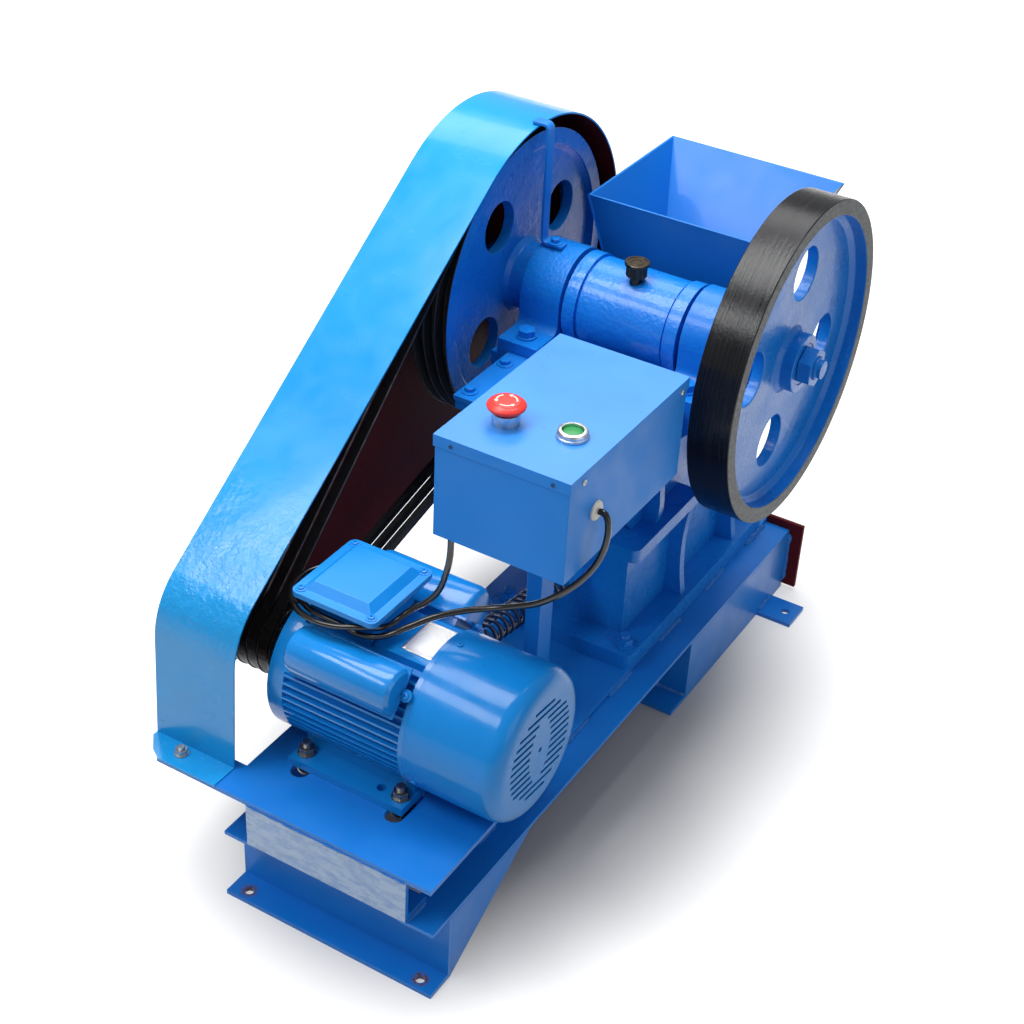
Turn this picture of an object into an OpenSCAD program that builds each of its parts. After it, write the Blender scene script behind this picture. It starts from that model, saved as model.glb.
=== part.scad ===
// Small single-toggle jaw crusher on a welded base, driven by a foot-mounted
// motor through V-belts. Millimetres, +Z up. The origin lies on the floor, on
// the crusher's mid-plane, between the two holes of the front foot.
// +X points from the belt side to the flywheel side, +Y from motor to hopper.

/* [Base frame] */
// Width over the rails' outer edges
base_w = 276; // [240:1:320]
// Length of the two rails
rail_len = 898; // [860:1:960]
// Height of the rails' top face
rail_top = 97; // [80:1:130]
// Width of a rail's flat flange
rail_flange = 45; // [40:1:50]
// Depth of a rail's upright leg
rail_leg = 45; // [30:1:60]
// Thickness of the rails
rail_t = 5; // [4:0.5:8]
// Width of the front foot
foot_w = 276; // [255:1:300]
// Depth of the front foot's flat leg
foot_depth = 40; // [34:1:60]
// Thickness of the foot, pedestal and gusset plates
plate_t = 6; // [4:0.5:8]
// Distance from the front foot's front edge to its holes
foot_edge = 13; // [11:0.5:17]
// Distance between the front foot's holes
foot_pitch = 232; // [200:1:240]
// Diameter of the floor bolt holes
floor_hole_d = 11; // [8:0.5:14]
// Length of the triangular gussets along the rails
gusset_len = 160; // [80:1:180]
// Thickness of the deck plate
deck_t = 6; // [4:0.5:8]
// Width of the deck plate
deck_w = 205; // [200:1:215]
// Length of the rear pedestal
pedestal_len = 300; // [260:1:320]
// Depth of the pedestal's front floor flange
pedestal_foot = 40; // [30:1:50]
// How far a rear tab reaches out beyond its hole
tab_reach = 17.5; // [12:0.5:24]
// Width of a rear tab
tab_w = 47; // [34:1:60]
// Distance from the rails' rear end to the tabs' holes
tab_setback = 59; // [40:1:80]
// Distance between the holes of the two rear tabs
tab_pitch = 341; // [322:1:346]
// Width of the rear end plate
end_plate_w = 314; // [280:1:320]
// Height of the rear end plate's top edge
end_plate_top = 108; // [100:1:125]
// Floor gap under the rear end plate
end_plate_gap = 5; // [2:1:12]

/* [Motor base] */
// Length of the two cross channels
channel_len = 209; // [200:1:230]
// Height of the cross channels
channel_h = 60; // [50:1:80]
// Flange width of the cross channels
channel_flange = 40; // [30:1:50]
// Thickness of the cross channels
channel_t = 6; // [4:0.5:8]
// Fillet between a channel's web and flanges
channel_fillet = 8; // [4:1:12]
// Width of the motor plate
motor_plate_w = 272; // [260:1:290]
// Length of the motor plate
motor_plate_len = 265; // [255:1:285]
// Thickness of the motor plate
motor_plate_t = 6; // [4:0.5:10]
// Reach of the guard's tab beyond the motor plate
guard_tab_reach = 90; // [84:1:104]
// Width of the guard's tab
guard_tab_w = 45; // [40:1:60]
// Width of the motor's tension slots
slot_w = 22; // [21:0.5:24]
// Length of the motor's tension slots
slot_len = 60; // [40:1:62]
// Shift of the tension slots towards the fan
slot_shift = 5; // [3:0.5:5]

/* [Motor] */
// Height of the motor's axis above its feet
motor_h = 90; // [88:1:100]
// Foot hole spacing across the motor's axis
motor_a = 140; // [136:1:150]
// Foot hole spacing along the motor's axis
motor_b = 125; // [118:1:132]
// Distance from the shaft shoulder to the first foot holes
motor_c = 56; // [50:1:60]
// Distance from the rails' front end to the motor's axis
motor_setback = 157.5; // [154:0.5:162]
// Position of the first foot holes across the machine
motor_x = -88; // [-92:1:-84]
// Radius of the stator frame
stator_r = 79; // [76:0.5:81]
// Height of the cooling fins
fin_h = 8; // [5:0.5:9]
// Thickness of a cooling fin
fin_t = 2.5; // [2:0.5:4]
// Number of cooling fins round the whole frame
fin_count = 56; // [36:1:60]
// Radius of the fan cover
fan_cover_r = 89; // [87:0.5:91]
// Length of the fan cover
fan_cover_len = 115; // [100:1:126]
// Rounding at the fan cover's rear edge
fan_cover_round = 20; // [10:1:26]
// Wall of the fan cover
fan_cover_wall = 2.5; // [1.5:0.5:4]
// Radius of the grille in the fan cover's end
grille_r = 60; // [40:1:62]
// Pitch of the grille's slots
grille_pitch = 9; // [8:0.5:14]
// Width of a grille slot
grille_slot = 3.5; // [3:0.5:6]
// Length of the grille's longer slots
grille_len = 39; // [30:1:44]
// Diameter of the motor shaft
motor_shaft_d = 24; // [20:1:28]
// Length of the motor shaft outside the shoulder
motor_shaft_len = 52; // [46:1:60]
// Size of the terminal box along the motor
terminal_len = 80; // [72:1:90]
// Size of the terminal box across the motor
terminal_w = 80; // [72:1:90]
// Height of the terminal box without its lid
terminal_h = 31; // [26:1:36]
// Edge of the terminal lid beyond the box
terminal_lip = 14; // [8:0.5:16]
// Edge of the terminal lid beyond the box's long sides
terminal_side_lip = 18; // [8:0.5:20]
// Thickness of the terminal lid
terminal_lid_t = 16; // [11:0.5:18]
// Length of a capacitor cover
capacitor_len = 136; // [110:1:140]
// Width of a capacitor cover
capacitor_w = 55; // [44:1:57]
// Height of the front capacitor cover
front_capacitor_h = 31; // [26:1:40]
// Height of the rear capacitor cover
rear_capacitor_h = 45; // [30:1:50]
// Rounding of a capacitor cover's ends
capacitor_round = 10; // [5:1:14]
// Tilt of the capacitor covers from upright
capacitor_tilt = 48; // [46:1:54]

/* [Crusher] */
// Distance from the rails' rear end back to the shaft's axis
shaft_setback = 257; // [250:1:262]
// Height of the shaft's axis
shaft_z = 509; // [505:1:515]
// Eccentricity of the shaft
eccentricity = 4; // [2:0.5:5]
// Diameter of the shaft in its bearings
shaft_d = 50; // [44:1:56]
// Diameter of the eccentric journal
journal_d = 66; // [62:1:72]
// Radial running clearance at the bearings
bearing_clearance = 0.05; // [0.02:0.01:0.1]
// Width of the base flange
frame_flange_w = 205; // [200:1:215]
// Distance from the shaft's axis to the base flange's front edge
frame_front = 151; // [148:1:158]
// Length of the base flange
frame_len = 390; // [386:1:398]
// Thickness of the base flange
frame_flange_t = 21; // [14:1:26]
// Clear width between the cheek plates
chamber_w = 100; // [96:1:108]
// Thickness of a cheek plate
cheek_t = 6; // [4:0.5:8]
// Thickness of the frame's side walls
wall_t = 14; // [10:1:18]
// Setback of the body from the base flange's front edge
body_setback = 39; // [34:1:44]
// Setback of the rear wall from the base flange's rear edge
rear_setback = 16; // [10:1:24]
// Thickness of the rear and front walls
end_wall_t = 26; // [20:1:30]
// Height of the side ears' top face
ear_top = 283; // [270:1:295]
// Thickness of the side ears
ear_t = 18; // [12:1:22]
// Width over the side ears
ear_w = 200; // [190:1:206]
// Length of the side ears
ear_len = 164; // [150:1:172]
// Height of the shaft's axis above the bearing seats
bearing_h = 53; // [50:1:58]
// Thickness of the bearing seats
seat_t = 22; // [16:1:28]
// Width over the bearing seats
seat_w = 284; // [276:1:290]
// Thickness of the gusset ribs
rib_t = 12; // [8:1:16]
// Distance from the mid-plane to a bearing block
block_inset = 80; // [79:0.5:82]
// Width of a bearing block
block_w = 54; // [48:1:56]
// Radius of a bearing block's cap
block_r = 56; // [48:1:60]
// Length of a bearing block's foot
block_len = 208; // [196:1:220]
// Thickness of a bearing block's foot
block_foot_t = 20; // [14:1:26]
// Distance between a bearing block's bolts
block_pitch = 164; // [150:1:176]
// Length of the swing jaw's barrel
barrel_len = 150; // [140:1:150]
// Radius of the barrel's end rings
barrel_r = 58; // [54:0.5:60]
// Width of a barrel end ring
barrel_ring = 16; // [10:1:24]
// Step from the end rings down to the barrel
barrel_step = 2.5; // [1:0.5:5]
// Width of the grooves beside the end rings
barrel_groove = 3; // [1:0.5:4]
// Width of the jaw plates
jaw_w = 84; // [76:1:88]
// Thickness of the jaw plates behind the teeth
jaw_t = 12; // [9:0.5:14]
// Height of the jaw teeth
tooth_h = 6; // [4:0.5:8]
// Number of teeth on a jaw plate
tooth_count = 7; // [5:1:9]
// Lower edge of the jaw plates
jaw_bottom = 150; // [142:1:160]
// Distance from the bearing seats down to the fixed jaw plate
jaw_drop = 16; // [11:1:36]
// Gap between the jaws at the bottom
gap_bottom = 22; // [18:0.5:30]
// Gap between the jaws at the top
gap_top = 96; // [84:1:100]
// Thickness of the cover plate in front of the shaft
cover_t = 6; // [4:0.5:8]
// Width of the cover plate
cover_w = 236; // [230:1:240]
// Reach of the cover plate in front of the bearing blocks
cover_len = 146; // [140:1:150]
// Width of the cover plate's front tongue
cover_tongue_w = 180; // [150:1:200]
// Length of the cover plate's front tongue
cover_tongue = 24; // [10:1:30]

/* [Drive] */
// Radius of the flywheel
flywheel_r = 193.5; // [180:0.5:197]
// Width of the flywheel's rim
flywheel_w = 51; // [40:1:56]
// Thickness of the flywheel's rim
flywheel_rim = 19; // [14:0.5:28]
// Thickness of the wheels' webs
web_t = 14; // [10:1:20]
// Distance from the mid-plane to the flywheel's rim
flywheel_x = 163; // [161:0.5:166]
// Radius of the wheels' hubs beside the bearings
hub_r = 42; // [36:1:46]
// Radius of the wheels' outer bosses
boss_r = 35; // [31:1:40]
// Fillet between the wheels' webs, rims and hubs
web_fillet = 6; // [2:1:8]
// Radius of the hole circle in the wheels' webs
web_hole_circle = 103; // [98:1:108]
// Diameter of the holes in the wheels' webs
web_hole_d = 64; // [44:1:66]
// Number of holes in each wheel's web
web_holes = 4; // [3:1:4]
// Turn of the flywheel's web holes
flywheel_turn = -11.5; // [-45:0.5:45]
// Turn of the large pulley's web holes
pulley_turn = 35; // [-45:0.5:45]
// Radius of the large pulley
pulley_r = 183; // [176:0.5:186]
// Radius of the motor pulley
motor_pulley_r = 46; // [44:0.5:54]
// Distance from the mid-plane to the pulleys' inner face
pulley_x = 156.5; // [155:0.5:160]
// Number of belts
belt_count = 3; // [2:1:4]
// Distance between two belts
belt_pitch = 15; // [14.5:0.5:17]
// Land between the outer grooves and a pulley's faces
pulley_land = 10; // [9:0.5:13]
// Depth of a belt groove
groove_depth = 12; // [10:0.5:14]
// Half width of a belt groove at the rim
groove_half = 6.6; // [5.5:0.1:7]
// Half angle of a belt groove
groove_angle = 18; // [16:1:20]
// Height of a belt
belt_h = 8; // [6:0.5:9]
// Clearance between a belt and its groove
belt_clearance = 0.35; // [0.3:0.05:0.6]

/* [Hopper] */
// Width of the hopper's mouth
hopper_w = 243; // [220:1:260]
// Length of the hopper's mouth
hopper_len = 224; // [200:1:240]
// Height of the hopper's rim above the shaft's axis
hopper_rise = 89; // [61:1:111]
// Width of the hopper's outlet
hopper_outlet_w = 140; // [130:1:148]
// Length of the hopper's outlet
hopper_outlet_len = 122; // [112:1:130]
// Distance from the shaft's axis to the hopper's front wall
hopper_front = 77; // [74:0.5:84]
// Thickness of the hopper's sheet
hopper_t = 3; // [2:0.5:4]

/* [Belt guard] */
// Radius of the guard's round end
guard_r = 204; // [200:0.5:212]
// Slope of the guard's long face
guard_slope = 35; // [33:0.5:37]
// Lean of the guard's front from upright
guard_lean = 3.5; // [0:0.5:5]
// Radius of the bend above the guard's front
guard_bend = 90; // [60:1:110]
// Slope from the guard's foot to the rear end of its strip
guard_strip_slope = 13.8; // [12:0.2:15]
// Slope of the outer plate's lower edge
guard_plate_slope = 5; // [4:0.2:7]
// Distance from the mid-plane to the guard's outer plate
guard_x = 252; // [244:1:262]
// Width of the guard's strip
guard_w = 108; // [100:1:112]
// Thickness of the guard's sheet
guard_t = 2; // [1.5:0.5:3]
// Depth of the guard's foot
guard_foot = 34; // [30:1:42]
// Width of the stay between guard and bearing cap
stay_w = 14; // [10:1:20]
// Thickness of the stay
stay_t = 4; // [3:0.5:6]

/* [Controls] */
// Width of the control box
box_w = 158; // [140:1:170]
// Length of the control box
box_len = 250; // [230:1:262]
// Height of the control box with its lid
box_h = 122; // [100:1:140]
// Distance from the mid-plane to the control box
box_x = 14; // [6:1:24]
// Length of the box's rear end that rests on the cover plate
box_overlap = 28; // [20:1:34]
// Depth of the lid's skirt
lid_skirt = 14; // [10:1:20]
// Thickness of the lid's sheet
lid_t = 1.5; // [1:0.25:2.5]
// Width of the box's post
post_w = 20; // [16:1:24]
// Depth of the box's post
post_d = 30; // [24:1:34]
// Diameter of the stop button's head
stop_d = 41; // [36:1:46]
// Diameter of the start button's ring
start_d = 34; // [30:1:38]
// Travel of both buttons
button_travel = 3; // [2:0.5:4]
// Diameter of the two leads
cord_d = 7; // [6:0.5:8]

/* [Hidden] */
$fn = 64;
e = 0.01;

enamel = "#1467c8";
enamel_dark = "#0f4fa0";
black_paint = "#202124";
primer = "#6e1f20";
zinc = "#9aa3aa";

// Base frame
rail_x1 = base_w / 2;
rail_x0 = rail_x1 - rail_flange;
rail_y0 = -foot_edge + 1;
rail_y1 = rail_y0 + rail_len;
rail_under = rail_top - rail_t;
foot_y0 = -foot_edge;
foot_y1 = foot_y0 + foot_depth;
deck_top = rail_top + deck_t;
pedestal_y0 = rail_y1 - pedestal_len;
tab_y = rail_y1 - tab_setback;

// Motor base and motor
channel_top = rail_top + channel_h;
plate_top = channel_top + motor_plate_t;
plate_y0 = foot_y0 - 2;
plate_y1 = plate_y0 + motor_plate_len;
motor_y = rail_y0 + motor_setback;
motor_z = plate_top + motor_h;
rear_channel_y = motor_y - channel_flange / 2;
shoulder_x = motor_x - motor_c;
foot_t = 10;
foot_end = 12.5;
shield_reach = 36;
shield_ring = 20;
cover_gap = 13;
stator_x0 = motor_x - shield_reach;
stator_x1 = motor_x + motor_b + cover_gap;
fan_x1 = stator_x1 + fan_cover_len;
fin_r = stator_r + fin_h;
terminal_offset = 26;
terminal_x = motor_x + terminal_offset;
terminal_z = motor_z + fin_r;
lid_z = terminal_z + terminal_h;
shaft_seat = 40;
terminal_pad = 34;
name_pad = [terminal_x + terminal_len / 2, stator_x1 - 4];
name_pad_w = 72;
name_pad_z = motor_z + stator_r + 1;
foot_half = 17;
foot_inner = 14;
foot_hole_r = 5.5;
spare_hole = 100;
fin_free = 28;
grille_tilt = -6;
grille_gap = 3;
grille_eye_r = 3;
capacitor_x = terminal_x - 38;
capacitor_base = fin_r + 5;
capacitor_flange = 3;
capacitor_pad = [capacitor_x + 12, capacitor_x + capacitor_len - 12];
capacitor_pad_half = 20;
capacitor_ear_r = 7;
capacitor_ear_x = 5;

// Crusher
shaft_y = rail_y1 - shaft_setback;
barrel_z = shaft_z - eccentricity;
seat_z = shaft_z - bearing_h;
jaw_top = seat_z - jaw_drop;
hopper_z = shaft_z + hopper_rise;
frame_y0 = shaft_y - frame_front;
frame_y1 = frame_y0 + frame_len;
frame_floor = deck_top + frame_flange_t;
wall_x0 = chamber_w / 2 + cheek_t;
wall_x1 = wall_x0 + wall_t;
body_y0 = frame_y0 + body_setback;
body_y1 = frame_y1 - rear_setback;
seat_y0 = shaft_y - block_len / 2;
seat_y1 = shaft_y + block_len / 2;
barrel_room = barrel_r + eccentricity + 7;
fixed_back_y = body_y1 - end_wall_t;
fixed_face_y = fixed_back_y - jaw_t - tooth_h;
swing_top_y = fixed_face_y - gap_top;
swing_bottom_y = fixed_face_y - gap_bottom;
jaw_lean = atan2(swing_bottom_y - swing_top_y, jaw_top - jaw_bottom);
discharge_y = [swing_top_y - 12, fixed_back_y];
cup_spot = 0.5;
cup_clearance = 0.4;
cup_offset = 19;
cup_neck_r = 7;
cup_neck_h = 11;
cup_r = 13;
cup_h = 14;
cup_rim_r = 15;
cup_rim_h = 4;
cup_y = shaft_y - cup_offset;
cup_z = barrel_z + sqrt(pow(barrel_r - barrel_step, 2) - pow(cup_offset + cup_neck_r, 2)) - cup_spot;
groove_cut = 2;
frame_bolt_x = 84;
frame_bolt_inset = 22;
frame_bolt_r = 6;
bolt_hole_r = frame_bolt_r + 0.5;
ledge_t = 12;
rib_waist = 19;
flange_corner = 10;
block_fillet = 12;
barrel_end_room = 5;
rib_steps = 10;
toggle_y = shaft_y + 40;
toggle_z = jaw_bottom + 66;
toggle_half = 8;
toggle_rise = 38;
toggle_clearance = 4;
swing_top = jaw_top - 12;

// Tension rod
rod_tilt = 10;
rod_r = 6;
rod_len = 402;
rod_reach = 372;
rod_end_z = 239;
rod_end = [0, shaft_y - rod_reach, rod_end_z];
rod_wall = (body_y0 - rod_end[1]) / cos(rod_tilt);
spring_r = 14;
spring_wire_r = 2.7;
spring_turns = 14;
spring_start = 23;
spring_end = 215;
spring_seat_r = 18;
washer_t = 3;
rod_nut_h = 10;
rod_nut_r = 11;

// Drive
pulley_w = (belt_count - 1) * belt_pitch + 2 * pulley_land;
belt_x = [for (i = [0:belt_count - 1]) -pulley_x - pulley_land - i * belt_pitch];
drive_y = shaft_y - motor_y;
drive_z = shaft_z - motor_z;
drive_len = norm([drive_y, drive_z]);
drive_angle = atan2(drive_z, drive_y);
wrap = asin((pulley_r - motor_pulley_r) / drive_len);
big_steps = 48;
small_steps = 18;
hub_gap = 6;
hub_x = block_inset + block_w + hub_gap;
nut_h = 16;
nut_r = 24;
thread_r = 14;
thread_end = 3;
stub_r = 11;
stub_len = 8;
web_inset = 16;
pulley_web_inset = 8;

// Guard
guard_setback = 128.5;
guard_y0 = motor_y - guard_setback;
guard_tan = [shaft_y - guard_r * sin(guard_slope), shaft_z + guard_r * cos(guard_slope)];
guard_bolt_inset = 46;
guard_bolt = [-guard_x + guard_bolt_inset, guard_y0 - 0.4 * guard_foot];
guard_bolt_r = 4;
guard_hole_r = guard_bolt_r + 0.5;
guard_corner = [30, 27];
stay_x = -block_inset - block_w + 1;
stay_y = shaft_y - 10;
stay_foot = 30;
stay_lap = 8;
stay_bend = 8;

// Controls
cover_y1 = seat_y0;
cover_y0 = cover_y1 - cover_len;
cover_z = seat_z + cover_t;
box_y1 = cover_y0 + box_overlap;
box_y0 = box_y1 - box_len;
box_top = cover_z + box_h;
stop_place = [47, 61];
start_place = [115.5, 76];
stop_at = [box_x + stop_place[0], box_y0 + stop_place[1]];
start_at = [box_x + start_place[0], box_y0 + start_place[1]];
stop_rise = 13;
start_bezel_h = 8.5;
start_head_r = 11;
button_stem_r = 9;
button_gap = 0.3;
gland_at = [box_y0 + 58, cover_z + 60];
gland_r = 11;
gland_t = 2;
post_y0 = cover_y0 - post_d;

// Lead routes, as points along each lead
start_route = [
    [36, 162, 462], [36, 162, 450], [36, 160, 436], [34, 158, 421], [30, 157, 405],
    [24, 155, 391], [14, 151, 378], [1, 145, 367], [-7, 134, 359], [-9, 121, 358],
    [-12, 108, 361], [-21, 97, 364], [-37, 88, 363], [-60, 81, 360], [-87, 81, 358],
    [-112, 91, 357], [-130, 111, 357], [-138, 134, 356], [-136, 155, 355], [-126, 170, 355],
    [-113, 176, 355], [-102, 176, 355]];
motor_route = [
    [175, 215, 522], [180, 215, 522], [185, 214, 518], [188, 212, 509], [189, 209, 497],
    [187, 206, 482], [182, 201, 466], [173, 195, 450], [160, 189, 434], [145, 186, 419],
    [128, 185, 405], [109, 184, 394], [90, 182, 385], [70, 175, 379], [50, 162, 375],
    [30, 142, 371], [12, 120, 364], [-6, 104, 355], [-30, 97, 350], [-58, 98, 351],
    [-86, 99, 351], [-108, 104, 351], [-124, 117, 351], [-128, 134, 351], [-121, 148, 351],
    [-111, 154, 351], [-102, 154, 351]];

// A box between low and high values on each axis
module slab(x, y, z) {
    translate([x[0], y[0], z[0]]) cube([x[1] - x[0], y[1] - y[0], z[1] - z[0]]);
}

// A box with rounded upright edges
module round_slab(x, y, z, r) {
    slab([x[0] + r, x[1] - r], y, z);
    slab(x, [y[0] + r, y[1] - r], z);
    for (i = [x[0] + r, x[1] - r]) for (j = [y[0] + r, y[1] - r])
        translate([i, j, z[0]]) cylinder(h = z[1] - z[0], r = r);
}

// A round bar along X
module bar_x(x, y, z, r) {
    translate([x[0], y, z]) rotate([0, 90, 0]) cylinder(h = x[1] - x[0], r = r);
}

// A side outline, drawn as Y and Z, made thick along X
module side_plate(x) {
    translate([x[0], 0, 0]) rotate([90, 0, 90]) linear_extrude(height = x[1] - x[0]) children();
}

// A profile of radius and X, turned about an axis along X
module turned(y, z) {
    translate([0, y, z]) rotate([0, 90, 0]) rotate_extrude() children();
}

// The same shape on both sides of the mid-plane
module both_sides() {
    children();
    mirror([1, 0, 0]) children();
}

// A bolt with washer and hexagon on a face at z; its end stands out by stud
module bolt(x, y, z, r, below, stud = 0) {
    translate([x, y, z - below]) cylinder(h = below + 1.6 * r + stud, r = r);
    translate([x, y, z]) cylinder(h = 0.4 * r, r = 2.1 * r);
    translate([x, y, z + 0.4 * r]) cylinder(h = 1.4 * r, r = 1.85 * r, $fn = 6);
}

// A round tube through the points of a route
function direction(p, i) =
    let (a = p[max(0, i - 1)], b = p[min(len(p) - 1, i + 1)]) (b - a) / norm(b - a);
function ring(c, d, r, n) =
    let (u = cross(d, abs(d[0]) < 0.9 ? [1, 0, 0] : [0, 1, 0]), v = u / norm(u), w = cross(d, v))
    [for (k = [0:n - 1]) c + r * (v * cos(360 * k / n) + w * sin(360 * k / n))];
module tube(p, r, n = 10) {
    points = [for (i = [0:len(p) - 1]) each ring(p[i], direction(p, i), r, n)];
    last = (len(p) - 1) * n;
    faces = concat(
        [[for (k = [n - 1:-1:0]) k]],
        [for (i = [0:len(p) - 2]) for (k = [0:n - 1])
            [i * n + k, i * n + (k + 1) % n, (i + 1) * n + (k + 1) % n, (i + 1) * n + k]],
        [[for (k = [0:n - 1]) last + k]]);
    polyhedron(points, faces);
}

module base_rails() {
    color(enamel_dark) both_sides() {
        slab([rail_x0, rail_x1], [rail_y0, rail_y1], [rail_under, rail_top]);
        slab([rail_x0, rail_x0 + rail_t], [foot_y1, rail_y1], [rail_top - rail_leg, rail_under + e]);
    }
}

module front_foot() {
    color(enamel) difference() {
        union() {
            slab([-foot_w / 2, foot_w / 2], [foot_y0, foot_y1], [0, plate_t]);
            slab([-foot_w / 2, foot_w / 2], [foot_y1 - plate_t, foot_y1], [0, rail_under]);
        }
        for (s = [-1, 1]) translate([s * foot_pitch / 2, 0, -e])
            cylinder(h = plate_t + 2 * e, d = floor_hole_d);
    }
}

module front_gussets() {
    color(enamel_dark) both_sides() side_plate([rail_x1 - plate_t, rail_x1])
        polygon([[foot_y1, 0], [foot_y1, rail_under], [foot_y1 + gusset_len, rail_under]]);
}

module deck_plate() {
    color(enamel) difference() {
        slab([-deck_w / 2, deck_w / 2], [rear_channel_y + channel_flange, rail_y1], [rail_top, deck_top]);
        slab([-chamber_w / 2, chamber_w / 2], discharge_y, [rail_top - e, deck_top + e]);
    }
}

module rear_pedestal() {
    color(enamel_dark) difference() {
        union() {
            both_sides() {
                slab([rail_x1 - plate_t, rail_x1], [pedestal_y0, rail_y1], [0, rail_under]);
                slab([rail_x1 - plate_t, tab_pitch / 2 + tab_reach], [tab_y - tab_w / 2, tab_y + tab_w / 2],
                    [0, plate_t]);
            }
            slab([-rail_x1, rail_x1], [pedestal_y0 - pedestal_foot, pedestal_y0 + plate_t], [0, plate_t]);
            slab([-rail_x1, rail_x1], [pedestal_y0, pedestal_y0 + plate_t], [0, rail_under]);
        }
        both_sides() {
            translate([tab_pitch / 2, tab_y, -e]) cylinder(h = plate_t + 2 * e, d = floor_hole_d);
            slab([rail_x0, rail_x0 + rail_t], [pedestal_y0 - e, pedestal_y0 + plate_t + e],
                [rail_top - rail_leg, rail_under + e]);
        }
    }
}

module rear_end_plate() {
    color(primer) slab([-end_plate_w / 2, end_plate_w / 2], [rail_y1, rail_y1 + plate_t],
        [end_plate_gap, end_plate_top]);
}

// A channel across the base; its web faces the way of side
module cross_channel(y, side) {
    r = channel_fillet;
    inner = channel_h - channel_t;
    translate([0, side > 0 ? y + channel_flange : y, rail_top]) mirror([0, side > 0 ? 1 : 0, 0])
        difference() {
            slab([-channel_len / 2, channel_len / 2], [0, channel_flange], [0, channel_h]);
            side_plate([-channel_len / 2 - e, channel_len / 2 + e])
                polygon(concat([[channel_flange + e, channel_t], [channel_flange + e, inner]],
                    bend([channel_t + r, inner - r], r, 90), bend([channel_t + r, channel_t + r], r, 180)));
        }
}

module motor_channels() {
    color(enamel) {
        cross_channel(plate_y0 + 1, -1);
        cross_channel(rear_channel_y, 1);
    }
}

module tension_slot(x, y) {
    half = (slot_len - slot_w) / 2;
    slab([x - slot_w / 2, x + slot_w / 2], [y - half, y + half], [channel_top - e, plate_top + e]);
    for (s = [-1, 1]) translate([x, y + s * half, channel_top - e])
        cylinder(h = motor_plate_t + 2 * e, r = slot_w / 2);
}

module motor_plate() {
    color(enamel) difference() {
        union() {
            slab([-motor_plate_w / 2, motor_plate_w / 2], [plate_y0, plate_y1], [channel_top, plate_top]);
            slab([-motor_plate_w / 2 - guard_tab_reach, 0], [plate_y0, plate_y0 + guard_tab_w],
                [channel_top, plate_top]);
        }
        for (x = [motor_x, motor_x + motor_b]) for (s = [-1, 1])
            tension_slot(x + slot_shift, motor_y + s * motor_a / 2);
        translate([guard_bolt[0], guard_bolt[1], channel_top - e])
            cylinder(h = motor_plate_t + 2 * e, r = guard_hole_r);
    }
}

// Places its children at the side of the motor, on the capacitor's tilt
module at_capacitor(s) {
    translate([0, motor_y, motor_z]) rotate([-s * capacitor_tilt, 0, 0]) children();
}

module motor_body() {
    foot_y = motor_a / 2;
    foot_x = [motor_x - foot_end, motor_x + motor_b + foot_end];
    color(enamel) difference() {
        union() {
            turned(motor_y, motor_z) polygon([[0, shoulder_x + 2], [28, shoulder_x + 2], [36, shoulder_x + 8],
                [stator_r - 4, stator_x0 - 6], [fin_r - 1, stator_x0 - 4],
                [fin_r - 1, stator_x0 - 4 + shield_ring], [stator_r, stator_x0 - 2 + shield_ring],
                [stator_r, stator_x1 - 8], [fan_cover_r, stator_x1 - 6],
                [fan_cover_r, stator_x1], [0, stator_x1]]);
            for (k = [0:fin_count - 1]) let (a = 360 * k / fin_count)
                if (abs(a - 180) > 40 && abs(a - 180) < 180 - fin_free)
                    translate([0, motor_y, motor_z]) rotate([a, 0, 0])
                        slab([stator_x0 + 2, stator_x1 - 2], [-fin_t / 2, fin_t / 2],
                            [stator_r - 3, fin_r - 1]);
            slab([terminal_x - terminal_pad, terminal_x + terminal_pad],
                [motor_y - terminal_pad, motor_y + terminal_pad], [motor_z + stator_r / 2, terminal_z]);
            slab(name_pad, [motor_y - name_pad_w / 2, motor_y + name_pad_w / 2],
                [motor_z + stator_r / 2, name_pad_z]);
            for (s = [-1, 1]) {
                slab(foot_x, [motor_y + s * foot_y - foot_half - foot_inner * (s + 1) / 2,
                    motor_y + s * foot_y + foot_half + foot_inner * (1 - s) / 2],
                    [plate_top, plate_top + foot_t]);
                side_plate([foot_x[0] + 4, foot_x[1] - 4])
                    polygon([[motor_y + s * (foot_y - 13), plate_top + foot_t - 1],
                        [motor_y + s * (foot_y - 30), plate_top + foot_t - 1],
                        [motor_y + s * 38, motor_z - 56], [motor_y + s * 57, motor_z - 44]]);
                at_capacitor(s) slab(capacitor_pad, [-capacitor_pad_half, capacitor_pad_half],
                    [stator_r - fin_h, capacitor_base]);
            }
        }
        bar_x([shoulder_x - e, shoulder_x + shaft_seat], motor_y, motor_z,
            motor_shaft_d / 2 + bearing_clearance);
        for (x = [motor_x, motor_x + spare_hole, motor_x + motor_b]) for (s = [-1, 1])
            translate([x, motor_y + s * foot_y, plate_top - e]) cylinder(h = foot_t + 2 * e, r = foot_hole_r);
    }
}

module motor_bolts() {
    r = 5;
    color(zinc) for (x = [motor_x, motor_x + motor_b]) for (s = [-1, 1])
        translate([x, motor_y + s * motor_a / 2, 0]) {
            bolt(0, 0, plate_top + foot_t, r, foot_t + motor_plate_t, 1.6 * r);
            translate([slot_shift, 0, channel_top - washer_t]) cylinder(h = washer_t, r = slot_w / 2 + 4);
            translate([0, 0, channel_top - washer_t - 1.4 * r])
                cylinder(h = 1.4 * r + e, r = 1.85 * r, $fn = 6);
        }
}

// A quarter turn of points about a centre in the turned profile
function quarter(cr, cx, r, n = 8) = [for (k = [0:n]) [cr + r * sin(90 * k / n), cx + r * cos(90 * k / n)]];

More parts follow.
